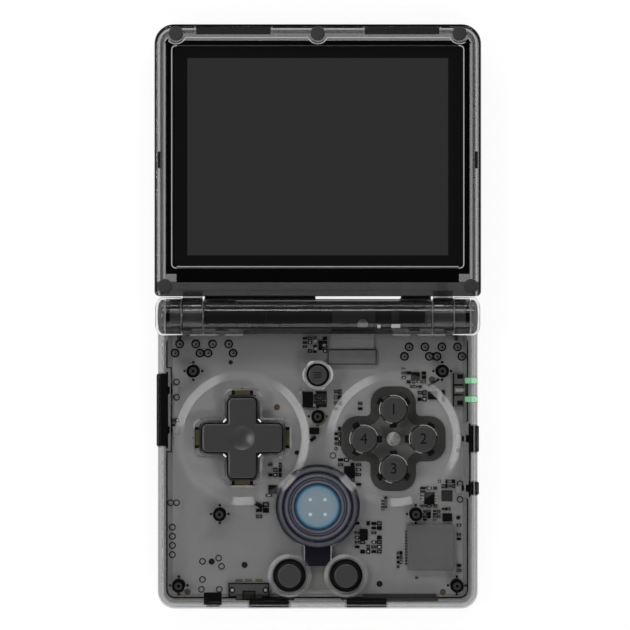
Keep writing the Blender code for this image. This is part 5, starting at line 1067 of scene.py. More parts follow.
def top_openings(far):
    """What is cut out of the base's top shell, up to the level far."""
    below = CEILING - 1
    keyhole = [(3.95, below), (3.95, TOP - 0.9), (4.15, TOP - 0.5), (4.15, far)]
    holes = [
        plate(plus_shape(11.15, 4.05, 1.4, 0.4), below, far, *PAD),
        turned_at([(x, y) for _, x, y, _, _ in key_places()], keyhole),
        turned_at([MENU], [(2.95, below), (2.95, far)]),
        bar(-35.2, -15.6, 10.3, far, -42.85, -41.3),
        turned_at([(x, LOWER_KEY_Y) for _, x in LOWER_KEYS], [(4.0, below), (4.0, far)]),
        turned_at([(x, SPEAKER_Y + y) for x in (-2, 2) for y in (-2, 2)], [(0.5, below), (0.5, far)], 20),
    ]
    walls = [bar(-25.55 - 10.2, -25.55 + 10.2, 7.45, 11.15, -45, -41.0)]
    walls += [bar(y - h - 0.35, y + h + 0.35, 7.45, 11.15, 41.0, 45) for y, h in ((-33.4, 3.6), (-46.9, 1.75))]
    walls += [bar(y - 1.0, y + 1.0, 8.6, 10.6, 41.0, 45) for y in LIGHTS_Y]
    notch = skin([
        along(np.array([(-80.6, 11.75), (-78.7, 12.95), (-77.8, far), (-80.6, far)]), x)
        for x in (-7.8, 7.8)
    ])
    pockets = merged([on_hinge([(5.05, s * 41.4), (5.05, s * 45)], 72) for s in SIDES])
    dishes = merged([dish(*place, 18.3, 2.0, 0.5, far) for place in (PAD, CLUSTER)])
    small = [dish(*MENU, 4.4, 0.9, 0.3, far)] + [dish(x, LOWER_KEY_Y, 6.0, 0.9, 0.3, far) for _, x in LOWER_KEYS]
    return [pockets, dishes, merged(small), merged(holes), merged(walls), notch, port_forms()]


def cap_curve(reach, radius, steps):
    """A hinge cap's flattened quarter round, as places in X with their radius.

    X is CAP_X + reach (0.22 + 0.78 sin a), at the radius times 0.42 + 0.58 cos a, for a over a quarter turn.
    """
    a = np.linspace(0, RIGHT_ANGLE, steps)
    return np.column_stack([CAP_X + reach * (0.22 + 0.78 * np.sin(a)), radius * (0.42 + 0.58 * np.cos(a))])


def cap_glints():
    """The painted highlight round each hinge cap, and the line of painted shade outside it.

    Each runs round the cap as a flattened quarter round and its mirror image, thick where the cap turns up.
    """
    line_radius = 4.93
    highlight_strokes, lines = [], []
    for side in SIDES:
        bend = cap_curve(2.28, line_radius, 12)
        ends = [[(36.9, line_radius)], [(36.9, -line_radius)]]
        path = np.concatenate([ends[0], bend, bend[::-1] * np.array([1, -1]), ends[1]])
        path = path * np.array([side, 1])
        normal = normals_of(path)
        count = np.arange(len(path))
        thick = np.interp(count, [0, 1, 7, 12, 19, 24, len(path) - 1], [0.08, 0.22, 0.32, 0.05, 0.32, 0.22, 0.08])
        highlight_strokes.append(plate(stroke(path, normal * thick[:, None]), HINGE_Z - 0.12, HINGE_Z + 0.12))
        outer = path * np.array([1.0, 1.045]) + np.array([side * 0.2, 0.0])
        lines.append(plate(stroke(outer, normal * 0.07), HINGE_Z - 0.3, HINGE_Z - 0.2))
    piece("cap_painted_highlights", merged(highlight_strokes), "edge_white", "base")
    piece("cap_painted_shade_lines", merged(lines), "side_black", "base")


class CONSOLE_OT_base_case(bpy.types.Operator):
    """Make the base's two clear shells with their dishes, openings, posts and gutter"""
    bl_idname = "console.base_case"
    bl_label = "Base case"

    def execute(self, context):
        rim, far = 4.72, TOP + 1.0
        guide = [(0.0, CEILING - 2.1), (0.5, CEILING - 2.1), (0.5, CEILING), (0.0, CEILING)]
        guide = [lift(plus_shape(12.95 + g, 4.95 + g, 2.2 + g, 0.6), z, *PAD) for g, z in guide]
        piece("pad_guide", skin(guide, closed=True), "silicone_clear", "base")
        post = [(1.1, rim), (1.82, rim), (1.82, CEILING - 0.35), (1.6, CEILING), (1.1, CEILING)]
        piece("screw_posts", turned_at(BOSSES, post, 36, closed=True), "post_black", "base")
        cores = rings_at(BOSSES, 0.45, 1.08, CEILING - 0.5, CEILING - 0.1)
        piece("screw_post_tops", cores, "post_grey", "base")
        hub = turned_at([CLUSTER], [(1.9, 8.9), (1.9, CEILING)], 40)
        piece("cluster_hub", hub, "silicone_clear", "base")
        gutter = hinge_ring(5.2, 6.6, math.pi + math.asin(0.25 / 5.2), math.radians(306))
        speaker_ring = rings_at([(0, SPEAKER_Y)], 11.55, 12.35, CEILING - 1.2, CEILING + 0.4, 72)
        piece(
            "base_top_case", tray(base_outline, rim, TOP, WALL, CEILING, 1.8, 0.8),
            "base_smoke", "base", ("base_top_shell",),
            carving=[
                (CUT, bar(-5.55, 6.0, 10.6, far, -37.1, 37.1)),
                (JOIN, skin([along(gutter, -37.5), along(gutter, 37.5)])),
                (JOIN, speaker_ring),
                *[(CUT, opening) for opening in top_openings(far)],
            ],
        )
        halo_glints, slots = [], []
        for _, x, y, inward, _ in key_places():
            # Painted highlights: pale arcs on parts of the edge round each face key's hole
            for start, end in ((15, 105), (150, 200), (235, 265)):
                halo_glint = arc_band(3.74, 3.92, np.radians(np.linspace(start, end, 20)))
                halo_glints.append(plate(halo_glint, TOP - 0.75, TOP - 0.3, x, y))
            turns = inward + np.arange(3) * TURN / 3
            slots += [(x + 4.35 * math.cos(a), y + 4.35 * math.sin(a), 0.85, 2.0, a) for a in turns]
        piece("key_halo_glints", merged(halo_glints), "edge_green", "base")
        linings = [bar(-79.3, -76.9, 5.3, 12.6, *sided(s, 7.9, 18.7)) for s in SIDES]
        linings += [bar(-35.3, -15.5, 9.6, 10.2, -42.9, -41.2), bar(-46.6, -33.9, 11.3, 12.2, 41.3, 41.7)]
        piece("wall_linings", merged(linings), "side_black", "base")
        lining = [(1.3, -79.45), (1.9, -79.45), (1.9, -77.5), (1.3, -77.5)]
        lining = lathe(lining, (JACK_X, 0, JACK_Z), "Y", 40, closed=True)
        piece("jack_lining", lining, "side_black", "base")
        cap_glints()
        # The two dashes on the ears are painted highlights
        dashes = [(s * 33.0, 2.95, 2.5, 0.3, 0.0) for s in SIDES]
        dashes += [(16.6, -2.7, 0.9, 0.9, 0.0), (21.2, -2.6, 2.4, 1.0, 0.0)]
        piece("hinge_dashes", blocks(dashes, HINGE_Z + 3.1, 0.25, 0.05), "part_pale", "base")
        tab = rounded(10.8, 13.6, -2.9, -0.7, 0.4, 1.3, 0.0, 8)
        piece("ribbon_tab", plate(tab, HINGE_Z + 2.9, HINGE_Z + 3.0), "part_mid", "base")
        piece("key_slots", blocks(slots, 13.55, 0.72, 0.1), "post_black", "base", bevel=0.06)
        webs = [bar(-6.6, 3.0, 8.5, CEILING, *sided(s, 37.15, 38.3)) for s in SIDES]
        piece("hinge_webs", merged(webs), "plain_smoke", "base", bevel=0.1)

        pillars = turned_at(BOSSES, [(2.6, 1.7), (2.6, 4.48)], 32)
        corners = [(x, y) for x in (-37, 37) for y in (-66.5, -1.8)]
        feet = turned_at(corners, [(2.7, 0.0), (2.93, 0.1), (3.0, 0.25), (3.0, 0.9)], 40)
        sinks = turned_at(BOSSES, [(2.0, -1), (2.0, 2.7), (0.9, 2.7), (0.9, 5.6)], 32)
        piece(
            "base_bottom_case", tray(base_outline, 4.48, 0.5, WALL, 2.1, 2.2, 0.8),
            "base_under_smoke", "base", ("base_bottom_shell",),
            carving=[(JOIN, pillars), (JOIN, feet), (CUT, sinks), (CUT, port_forms())],
        )
        return {"FINISHED"}


class CONSOLE_OT_lid_case(bpy.types.Operator):
    """Make the lid's clear front frame and back shell"""
    bl_idname = "console.lid_case"
    bl_label = "Lid case"

    def execute(self, context):
        seam, ceiling = TOP - 5.0, TOP - 1.4
        back, far = TOP - 10.75, TOP + 1.0
        bosses = turned_at(LID_BOSSES, [(2.3, seam + 0.35), (2.3, ceiling + 0.4)], 40)
        seat = TOP - 2.5
        holes = turned_at(LID_BOSSES, [(0.9, seam - 1), (0.9, seat), (2.1, seat), (2.1, far)], 40)
        pockets = [bar(76.7, 78.7, TOP - 0.9, far, *sided(s, 12.7, 33.2)) for s in SIDES]
        pockets += [bar(40.3, 45.0, TOP - 1.2, far, *sided(s, 43.7, 42.7)) for s in SIDES]
        groove = [bar(14.0, 72.0, TOP - 0.12, far, *sided(s, 42.65, 42.5)) for s in SIDES]
        piece(
            "lid_frame", tray(lid_outline, seam + 0.12, TOP, 1.5, ceiling, 0.9, 0.5),
            "lid_smoke", "lid", ("lid_front_frame",),
            carving=[
                (JOIN, bosses), (CUT, plate(window_outline(), ceiling - 1, far)), (CUT, holes),
                (CUT, merged(pockets)), (CUT, merged(groove)),
            ],
        )
        # A painted highlight along the rim's inner edge goes round the three screws at the lid's far edge
        around = 2.85
        x = np.linspace(-41.6, 41.6, 340)
        y = np.full_like(x, 75.95)
        for bx, by in LID_BOSSES[:3]:
            bow = by - np.sqrt(np.maximum(around ** 2 - (x - bx) ** 2, 0))
            y = np.where(np.abs(x - bx) < around, np.minimum(y, bow), y)
        side = np.linspace(74.2, 9.5, 60)
        left, right = [np.column_stack([np.full(60, s * 41.75), side]) for s in SIDES]
        line = np.concatenate([left[::-1], np.column_stack([x, y])[2:-2], right])
        edge_glint = plate(stroke(line, normals_of(line) * 0.14), TOP - 0.03, TOP + 0.02)
        piece("lid_edge_glint", edge_glint, "edge_glint_pale", "lid")
        catches = merged([bar(40.4, 44.9, TOP - 1.1, TOP - 0.35, *sided(s, 42.8, 43.6)) for s in SIDES])
        piece("lid_catches", catches, "side_black", "lid")
        # Painted highlights on the end walls of the strips' pockets
        ends = [
            bar(76.5, 78.85, TOP - 0.25, TOP - 0.02, *sided(s, x, x + 0.35))
            for s in SIDES
            for x in (12.3, 33.25)
        ]
        piece("strip_end_glints", merged(ends), "edge_pale", "lid")
        ribs = merged([bar(4.35, 5.62, 8.4, 9.2, *span) for span in ((-30.9, -0.6), (22.7, 30.9))])
        piece("lid_rear_ribs", ribs, "rubber_black", "lid", bevel=0.1)
        ears = [tube_x(BARREL_IN, BARREL_OUT, *sided(s, 31.3, 36.8)) for s in SIDES]
        ears += [bar(3.6, 6.9, HINGE_Z - 3.6, HINGE_Z - 0.4, *sided(s, 31.35, 36.75)) for s in SIDES]
        piece("lid_ears", merged(ears), "plain_smoke", "lid")
        pillars = turned_at(LID_BOSSES, [(2.2, back + 1.1), (2.2, seam - 0.4)], 32)
        ribs = merged([bar(y, y + 1.0, back + 1.1, 9.2, -30, 30) for y in (26.0, 60.0)])
        piece(
            "lid_back", tray(lid_outline, seam - 0.12, back, 1.5, back + 1.5, 3.0, 1.5, 10),
            "lid_smoke", "lid", ("lid_back_shell",),
            carving=[(JOIN, pillars), (JOIN, ribs)],
        )
        return {"FINISHED"}


class CONSOLE_OT_hinge(bpy.types.Operator):
    """Make the clear barrel, its knuckles and end caps, the click module, the sleeve and the rolled ribbon"""
    bl_idname = "console.hinge"
    bl_label = "Hinge"

    def execute(self, context):
        piece("hinge_barrel", tube_x(BARREL_IN, BARREL_OUT, -31.0, 31.0), "barrel_smoke", "base")
        knuckles = merged([tube_x(BARREL_IN, BARREL_OUT, *sided(s, 37.1, 41.4), edge=0.12) for s in SIDES])
        piece("hinge_knuckles", knuckles, "plain_smoke", "base")
        joints = (-41.35, -37.15, -31.25, 31.25, 37.15, 41.35)
        rims = merged([tube_x(4.3, BARREL_OUT, x - 0.07, x + 0.07, 0.02) for x in joints])
        piece("hinge_rims", rims, "rim_grey", "base")
        for side, node in zip(SIDES, ("hinge_cap_left", "hinge_cap_right")):
            profile = [(CORE_OUT, side * 40.5), (CORE_OUT, side * CAP_X), (BARREL_OUT, side * CAP_X)]
            profile += [(radius, side * x) for x, radius in cap_curve(2.15, BARREL_OUT, 10)]
            profile.append((1.0, side * 43.8))
            piece(node + "_dome", on_hinge(profile, 72), "cap_smoke", "base", (node,))
        module = [
            (1.65, -27.2), (1.65, -30.75), (2.9, -30.75), (CORE_OUT, -30.5), (CORE_OUT, -29.6), (2.95, -29.4),
            (2.95, -27.0), (CORE_OUT, -26.8), (CORE_OUT, -19.5), (2.6, -19.2), (2.6, -17.4), (CORE_OUT, -17.1),
            (CORE_OUT, -14.4), (2.9, -14.15),
        ]
        piece("hinge_click", on_hinge(module), "hinge_grease", "base", ("hinge_click_module",))
        shaft = [
            (2.2, -40.15), (2.2, -36.8), (CORE_OUT, -36.8), (CORE_OUT, -31.3), (1.5, -31.3), (1.5, -27.6),
            (1.2, -27.55),
        ]
        piece("hinge_pin", on_hinge(shaft), "pin_dark", "lid", ("hinge_shaft",), bevel=0.12)
        sleeve = [(2.3, 29.5), (3.0, 29.5), (CORE_OUT, 29.7), (CORE_OUT, 40.0), (3.0, 40.15), (2.3, 40.15)]
        piece("hinge_bush", on_hinge(sleeve, closed=True), "pin_dark", "lid", ("hinge_sleeve",))
        # The display's ribbon: a roll that widens over two and a half turns, and a tail down to its socket
        coil = polar(np.linspace(1.4, 2.8, 160), np.linspace(0, 2.5 * TURN, 160)) + (0, HINGE_Z)
        bend = np.linspace(0, RIGHT_ANGLE, 9)[1:-1]
        tail = [(-2.8, HINGE_Z), (-2.8, 9.6)]
        tail += [(-2.8 - 0.8 * (1 - math.cos(b)), 9.6 - 0.8 * math.sin(b)) for b in bend]
        tail += [(-3.6, 8.8), (-8.8, 8.75)]
        ribbon = merged([ribbon_path(coil, 7.7, 43.0, 0.2), ribbon_path(tail, 9.4, 11.8, 0.2)])
        piece("display_ribbon_coil", ribbon, "film_dark", "base", ("display_ribbon",))
        refined("lid_ribbon", "lid_ribbon_strip", "film_clear", "lid", bevel=0.0)
        return {"FINISHED"}


class CONSOLE_OT_screen(bpy.types.Operator):
    """Make the lens, the screen behind it and the black gasket"""
    bl_idname = "console.screen"
    bl_label = "Screen"

    def execute(self, context):
        low, high = LENS_LOW[2], LENS_HIGH[2]
        lens = soft_plate(lambda inset: window_outline(0.25 + inset), low, high, 0.13)
        piece("lens", lens, "lens_glass", "lid", ("screen_lens",))
        # A painted highlight along the lens's lower edge
        line = bar(13.42, 13.72, high - 0.02, high + 0.02, -38.4, 38.4)
        piece("lens_lower_glint", line, "edge_pale", "lid")
        refined("screen_panel", "panel", "shield", "lid")
        refined("screen_gasket", "gasket", "gasket_black", "lid", bevel=0.08)
        return {"FINISHED"}


class CONSOLE_OT_lid_trim(bpy.types.Operator):
    """Make the lid's screws with their rubber covers and the buffer strips"""
    bl_idname = "console.lid_trim"
    bl_label = "Lid trim"

    def execute(self, context):
        top = TOP + 0.2
        screw = [(0.75, top - 8.05), (0.75, top - 2.45), (1.6, top - 2.45), (1.6, top - 1.2)]
        cover = [(1.95, top - 1.2), (1.95, top - 0.2), (1.9, top - 0.08), (1.8, top - 0.02), (1.5, top), (0.6, top)]
        for number, place in enumerate(LID_BOSSES, 1):
            surface = turned_at([place], screw + cover)
            piece(
                f"lid_screw_cover_{number}", surface, "rubber_grey", "lid",
                (f"lid_screw_{number}",),
            )
        for node in ("buffer_strip_left", "buffer_strip_right"):
            refined(node, node + "_pad", "rubber_black", "lid", bevel=0.08)
        return {"FINISHED"}


# Board

BOARD_SIDES = (-41.0, 40.7, -76.65, -5.2)
SWITCH_TIP_Z = 8.6

# Through pins, rings, dots and pads, as x and y
PINS = [
    (-37.75, -7.5), (-33.35, -7.5), (-28.75, -7.5), (-24.35, -7.5),
    (-39.0, -10.0), (-32.2, -10.0), (-30.0, -10.0), (-23.15, -10.0),
    (25.0, -8.3), (29.3, -8.3), (33.9, -8.3), (38.2, -8.3),
    (23.7, -10.9), (30.5, -10.9), (32.6, -10.9), (39.4, -10.9),
]
TEST_PINS = [
    (-38.6, -17.9), (-38.6, -22.1), (-38.6, -50.9), (-40.2, -50.9), (-31.5, -66.95), (-27.1, -66.05),
    (-26.3, -68.3), (-31.5, -71.9), (-31.8, -74.6), (-26.9, -74.6), (38.9, -50.0), (38.9, -45.7), (4.15, -38.0),
]
SMALL_DOTS = [
    (-20.7, -20.1), (-33.7, -33.2), (-7.6, -33.2), (-23.8, -12.5), (-5.7, -37.2), (38.4, -36.6), (38.4, -55.0),
]
LARGE_DOTS = [(-29.0, -67.0), (16.9, -73.1), (-20.0, -67.9)]
COPPER_SPOTS = [(-35.6, -75.3), (0.0, -70.7), (34.2, -75.3), (31.2, -17.2), (-11.15, -24.8)]
SERVICE_PINS = [(-39.75, -57.6), (-39.75, -60.1), (-39.75, -62.6), (-39.75, -65.1)]

# Chips as x, y, length and width, and groups of small parts as x from and to, y from and to, columns and rows
BLACK_PARTS = [
    (-2.7, -22.75, 2.85, 4.3), (-0.95, -31.3, 2.7, 1.8), (8.7, -42.4, 3.0, 3.0), (-12.3, -47.3, 2.4, 2.4),
    (12.6, -59.6, 2.2, 3.0), (30.5, -49.65, 2.8, 3.3), (35.4, -54.9, 2.6, 2.2), (0.75, -7.9, 1.1, 2.6),
    (26.7, -16.3, 2.4, 2.2), (31.4, -21.6, 2.6, 2.2),
]
CLUSTERS = [
    (-4.2, 2.7, -10.0, -5.4, 5, 4), (-0.95, 2.45, -24.8, -20.4, 5, 6), (4.4, 6.6, -26.0, -19.8, 2, 4),
    (-2.6, 0.6, -34.0, -30.3, 2, 2), (4.5, 6.4, -36.8, -30.0, 2, 5), (5.4, 12.0, -46.6, -38.5, 4, 6),
    (-13.6, -9.6, -44.0, -39.9, 3, 3), (-14.4, -10.2, -49.6, -45.2, 2, 3), (-17.0, -13.2, -55.4, -50.6, 2, 3),
    (17.3, 19.0, -53.3, -49.2, 2, 5), (10.0, 17.6, -64.9, -55.9, 5, 7), (22.8, 29.7, -18.4, -14.9, 5, 3),
    (24.3, 28.5, -19.6, -18.7, 5, 1), (27.2, 35.0, -23.4, -20.0, 6, 2), (27.9, 33.0, -52.3, -46.4, 3, 6),
    (28.7, 31.0, -56.0, -52.8, 2, 4), (31.4, 33.6, -56.0, -52.8, 2, 4), (33.9, 37.3, -54.0, -52.1, 4, 2),
    (32.8, 37.6, -47.0, -44.4, 5, 2), (10.9, 12.3, -25.9, -21.6, 1, 3), (22.8, 25.1, -14.4, -13.8, 2, 1),
    (21.5, 23.2, -69.0, -64.0, 2, 4), (37.9, 39.3, -61.4, -56.4, 1, 4), (37.9, 39.3, -70.1, -65.9, 1, 3),
    (-40.0, -37.9, -30.6, -27.6, 2, 2), (26.6, 28.5, -71.8, -71.0, 2, 1),
]


def part_grid(x0, x1, y0, y1, columns, rows):
    """Small parts filling a rectangle, one per cell with every fifth left out.

    Their length and width change from cell to cell.
    """
    i, j = [c.ravel() for c in np.meshgrid(np.arange(columns), np.arange(rows), indexing="ij")]
    kept = (i * 3 + j * 2 + columns) % 5 != 0
    i, j = i[kept], j[kept]
    wide, deep = (x1 - x0) / columns, (y1 - y0) / rows
    kind = (i * 2 + j * 3) % 3
    length = wide * np.array([0.86, 0.62, 0.86])[kind]
    width = deep * np.array([0.55, 0.86, 0.80])[kind]
    return np.column_stack([x0 + (i + 0.5) * wide, y0 + (j + 0.5) * deep, length, width, np.zeros(len(i))])


def clear_of(grid, chips, gap):
    """The rows of a grid of parts whose middles lie further than gap from every chip's outline."""
    reach_x = np.abs(grid[:, None, 0] - chips[None, :, 0]) - chips[None, :, 2] / 2
    reach_y = np.abs(grid[:, None, 1] - chips[None, :, 1]) - chips[None, :, 3] / 2
    return grid[np.min(np.maximum(reach_x, reach_y), axis=1) > gap]


def board_outline(inset=0.0):
    """The board: a rectangle with round front corners and a tab at the rear for the sockets."""
    x0, x1, y0, y1 = BOARD_SIDES
    body = rounded(x0, x1, y0, y1, 2.0, 0.4, inset, 6)
    half, far, near = 20.5 - inset, -1.0 - inset, y1 - inset
    tab = [(half, near), (half, far), (-half, far), (-half, near)]
    corner = 7
    return np.concatenate([body[:2 * corner], tab, body[2 * corner:]])


def board_slab():
    """The board with its holes and notches, its dark edge, and the lines of its left notch."""
    z = BOARD_TOP
    below, above = 6, 9
    notches = [
        bar(-68.5, SPEAKER_Y, below, above, -3.8, 3.8), bar(-49.4, -29.2, below, above, 39.5, 42.0),
        bar(-36.9, -14.0, below, above, -42.0, -39.9), bar(-77.0, -75.4, below, above, -31.2, -26.2),
    ]
    posts = turned_at(BOSSES, [(1.95, below), (1.95, above)], 32)
    speaker = turned_at([(0, SPEAKER_Y)], [(11.5, below), (11.5, above)], 72)
    cuts = [(CUT, form) for form in (posts, speaker, *notches)]
    piece("board", plate(board_outline(), 7.02, z), "board_mask", "base", ("main_board",), carving=cuts)
    levels = ((-0.42, 6.7), (-0.42, z + 0.1), (-0.06, z + 0.1), (-0.06, 6.7))
    rim = skin([lift(board_outline(g), level) for g, level in levels], closed=True)
    gaps = [
        bar(-49.8, -28.7, below, above, 39.5, 42.0), bar(-36.7, -14.2, below, above, -42.0, -40.9),
        bar(-6.5, 0.5, below, above, -42, 42), bar(-78.0, -75.4, below, above, -31.2, -26.2),
    ]
    piece("board_edge", rim, "side_black", "base", carving=[(CUT, gap) for gap in gaps])
    notch = [
        bar(-37.0, -14.0, 6.7, z + 0.1, -40.2, -39.9), bar(-14.15, -13.85, 6.7, z + 0.1, -41.2, -39.9),
        bar(-37.15, -36.85, 6.7, z + 0.1, -41.2, -39.9),
    ]
    piece("board_notch", merged(notch), "side_black", "base")
    piece("jack_block", blocks([(JACK_X, -77.2, 4.9, 3.4, 0)], 7.3, 0.9, 0.1), "side_black", "base")


def board_rounds():
    """The turned parts on the board: ticks round the screw holes, pins, rings, dots and copper spots."""
    z = BOARD_TOP
    around = [(x + 2.4 * c, y + 2.4 * d) for x, y in BOSSES for c, d in ((1, 0), (-1, 0), (0, 1), (0, -1))]
    middle_x, middle_y = BOSSES[0]
    shifted = [(x + 0.12, y - 0.1) for x, y in PINS]
    dots = [
        turned_at(SMALL_DOTS, [(0.6, z), (0.6, z + 0.12)], 20),
        turned_at(LARGE_DOTS, [(0.85, z), (0.85, z + 0.12)], 20),
    ]
    links = [(-31.1, -10.0, 1.2, 1.6, 0.0), (31.55, -10.9, 1.2, 1.9, 0.0)]
    for name, surface, finish in (
        ("board_hole_ticks", turned_at(around, [(0.36, z), (0.36, z + 0.05)], 12), "side_black"),
        ("pin_rings", rings_at(PINS, 0.84, 1.22, z, z + 0.12), "side_black"),
        ("pin_ends", turned_at(PINS, [(0.82, z), (0.82, z + 0.2), (0.5, z + 0.5)], 16), "pin_grey"),
        ("pin_spots", turned_at(shifted, [(0.3, z + 0.4), (0.3, z + 0.55)], 12), "dark_pad"),
        ("pin_links", blocks(links, z, 0.1), "side_black"),
        ("test_rings", rings_at(TEST_PINS, 0.6, 0.92, z, z + 0.1), "dark_pad"),
        ("service_rings", rings_at(SERVICE_PINS, 0.62, 0.98, z, z + 0.1), "dark_pad"),
        ("dark_dots", merged(dots), "dark_pad"),
        ("copper_spots", turned_at(COPPER_SPOTS, [(0.85, z), (0.85, z + 0.05)], 24), "copper_spot"),
        ("middle_land", rings_at([(middle_x + 0.3, middle_y - 0.3)], 1.2, 2.1, z + 0.02, z + 0.06, 32), "gold_pad"),
    ):
        piece(name, surface, finish, "base")


def board_chips():
    """Black chips with their pale legs, and the small parts between them with paler tops and pads."""
    z = BOARD_TOP
    turned = [(-1.3, -33.4, 1.8, 0.9, 0.6), (31.6, -18.0, 3.6, 0.4, 0.5), (-16.0, -51.6, 2.3, 1.2, -0.6)]
    chips = np.array([(*row, 0.0) for row in BLACK_PARTS] + turned)
    piece("black_parts", blocks(chips, z, 0.75, 0.08), "chip_black", "base")
    grid = clear_of(np.concatenate([part_grid(*cluster) for cluster in CLUSTERS]), chips, 0.35)
    piece("small_parts", blocks(grid, z, 0.5, 0.05), "side_black", "base")
    tops = grid * np.array([1, 1, 0.62, 0.52, 1])
    shade = (np.arange(len(tops)) * 7) % 5
    pads = tops[shade == 3] * np.array([1, 1, 0.8, 1, 1])
    piece("small_part_tops", blocks(tops[shade < 2], z, 0.56, 0.05), "part_mid", "base")
    piece("small_part_pads", blocks(pads, z, 0.56, 0.05), "part_pale", "base")
    legs = [
        (-4.75, -20.8, 0.8, 1.0, 0), (-0.95, -20.8, 0.7, 0.9, 0), (-5.0, -24.3, 0.8, 1.0, 0),
        (-0.95, -24.3, 0.7, 0.9, 0), (-0.6, -6.7, 0.8, 0.7, 0), (-0.5, -8.8, 0.9, 0.7, 0),
        (1.75, -7.8, 0.8, 0.7, 0),
    ]
    legs += [(x, y, 0.9, 0.35, 0.0) for x in (28.6, 32.4) for y in np.arange(-51.0, -48.0, 0.8)]
    piece("chip_legs", blocks(legs, z, 0.7), "part_pale", "base")
    olive = [(35.3, -49.0, 3.0, 3.0, 0.0), (0.75, -22.6, 3.4, 4.4, 0.0)]
    piece("olive_parts", blocks(olive, z, 0.4, 0.05), "olive_dark", "base")


def board_plugs():
    """The radio's contacts, the ribbon socket and the battery's plug with its posts, face and pads."""
    z = BOARD_TOP
    contacts = [(24.1, y, 0.5, 0.4, 0.0) for y in np.arange(-67.6, -58.2, 0.8)]
    socket_lines = [
        (9.4, -13.0, 13.6, 0.25, 0), (9.4, -9.15, 13.6, 0.25, 0), (2.85, -11.1, 0.2, 3.9, 0),
        (15.95, -11.1, 0.25, 3.9, 0),
    ]
    rim = merged([
        blocks([(-18.85, -74.7, 11.1, 3.8, 0.0)], z, 1.7, 0.1),
        blocks([(-18.7, -76.6, 7.6, 1.9, 0.0)], z, 1.7, 0.1),
    ])
    plug = merged([
        blocks([(-18.85, -74.7, 10.7, 3.4, 0.0)], z, 1.8, 0.2),
        blocks([(-18.7, -76.6, 7.2, 1.6, 0.0)], z, 1.8, 0.2),
    ])
    posts = [(x, -74.7) for x in (-23.35, -14.25)]
    pads = [(x, -72.1, 2.0, 0.7, 0.0) for x in (-21.5, -18.9, -16.0)]
    for name, surface, finish in (
        ("radio_contacts", blocks(contacts, z, 0.3), "dark_pad"),
        ("ribbon_socket", blocks([(9.4, -11.1, 13.1, 4.0, 0.0)], z - 0.02, 1.4, 0.15), "socket_grey"),
        ("ribbon_socket_line", blocks(socket_lines, z, 1.46), "part_dark"),
        ("battery_plug_rim", rim, "side_black"),
        ("battery_plug", plug, "plug_grey"),
        ("battery_plug_posts", turned_at(posts, [(0.85, z), (0.85, z + 1.86)], 24), "side_black"),
        ("battery_plug_cores", turned_at(posts, [(0.45, z), (0.45, z + 1.92)], 16), "part_pale"),
        ("battery_plug_face_rim", blocks([(-18.77, -76.2, 3.6, 2.7, 0.0)], z, 1.86), "side_black"),
        ("battery_plug_face", blocks([(-18.77, -76.2, 2.9, 2.0, 0.0)], z, 1.92), "olive_dark"),
        ("battery_pads", blocks(pads, z, 0.15), "gold_pad"),
    ):
        piece(name, surface, finish, "base")


def board_switches():
    """The side and shoulder switches with their tips, the strip at the front, and the holder of the two lights."""
    z = BOARD_TOP
    switches = [
        (-38.9, -20.0, 1.5, 2.0, 0), (-38.9, -30.95, 1.5, 2.0, 0), (38.5, -33.4, 1.6, 2.0, 0),
        (38.5, -47.2, 1.6, 2.0, 0),
    ]
    tips = [
        (-39.5, -20.15, 0.8, 1.4, 0), (-39.5, -30.95, 0.8, 1.4, 0), (39.55, -33.4, 0.8, 1.4, 0),
        (39.55, -46.9, 0.8, 1.4, 0),
    ]
    holder_lines = [
        (37.1, -20.0, 0.35, 8.9, 0), (38.3, -18.7, 2.6, 0.5, 0), (38.3, -21.4, 2.6, 0.5, 0),
        (38.9, -16.4, 1.6, 1.2, 0), (38.9, -23.6, 1.6, 1.2, 0),
    ]
    shoulders = [(s * x, -8.3, 6.0, 4.2, 0.0) for s in SIDES for x in SHOULDERS]
    shoulder_tip = [(1.0, -6.3), (1.0, -5.0), (0.8, -4.9)]
    shoulder_tips = [lathe(shoulder_tip, (s * x, 0, 4.65), "Y", 28) for s in SIDES for x in SHOULDERS]
    for name, surface, finish in (
        ("front_strip", bar(-77.8, -75.8, z + 0.3, z + 0.7, 12.4, 32.4), "strip_grey"),
        ("side_switches", blocks(switches, z - 0.02, 2.1, 0.15), "board_mask"),
        ("side_switch_tips", blocks(tips, SWITCH_TIP_Z, 1.4, 0.15), "side_black"),
        ("light_holder", blocks([(38.45, -20.05, 3.0, 9.2, 0.0)], z - 0.02, 1.3, 0.15), "part_mid"),
        ("light_holder_lines", blocks(holder_lines, z, 1.5, 0.1), "side_black"),
        ("light_holder_bar", blocks([(38.9, -20.1, 2.6, 0.9, 0.0)], z, 1.6, 0.1), "part_pale"),
        ("shoulder_switches", blocks(shoulders, 2.35, 4.7, 0.3), "chip_black"),
        ("shoulder_tips", merged(shoulder_tips), "part_pale"),
    ):
        piece(name, surface, finish, "base")


class CONSOLE_OT_board(bpy.types.Operator):
    """Make the circuit board with its dark edge, pads, pins, chips, switches and plugs"""
    bl_idname = "console.board"
    bl_label = "Board"

    def execute(self, context):
        board_slab()
        board_rounds()
        board_chips()
        board_plugs()
        board_switches()
        return {"FINISHED"}


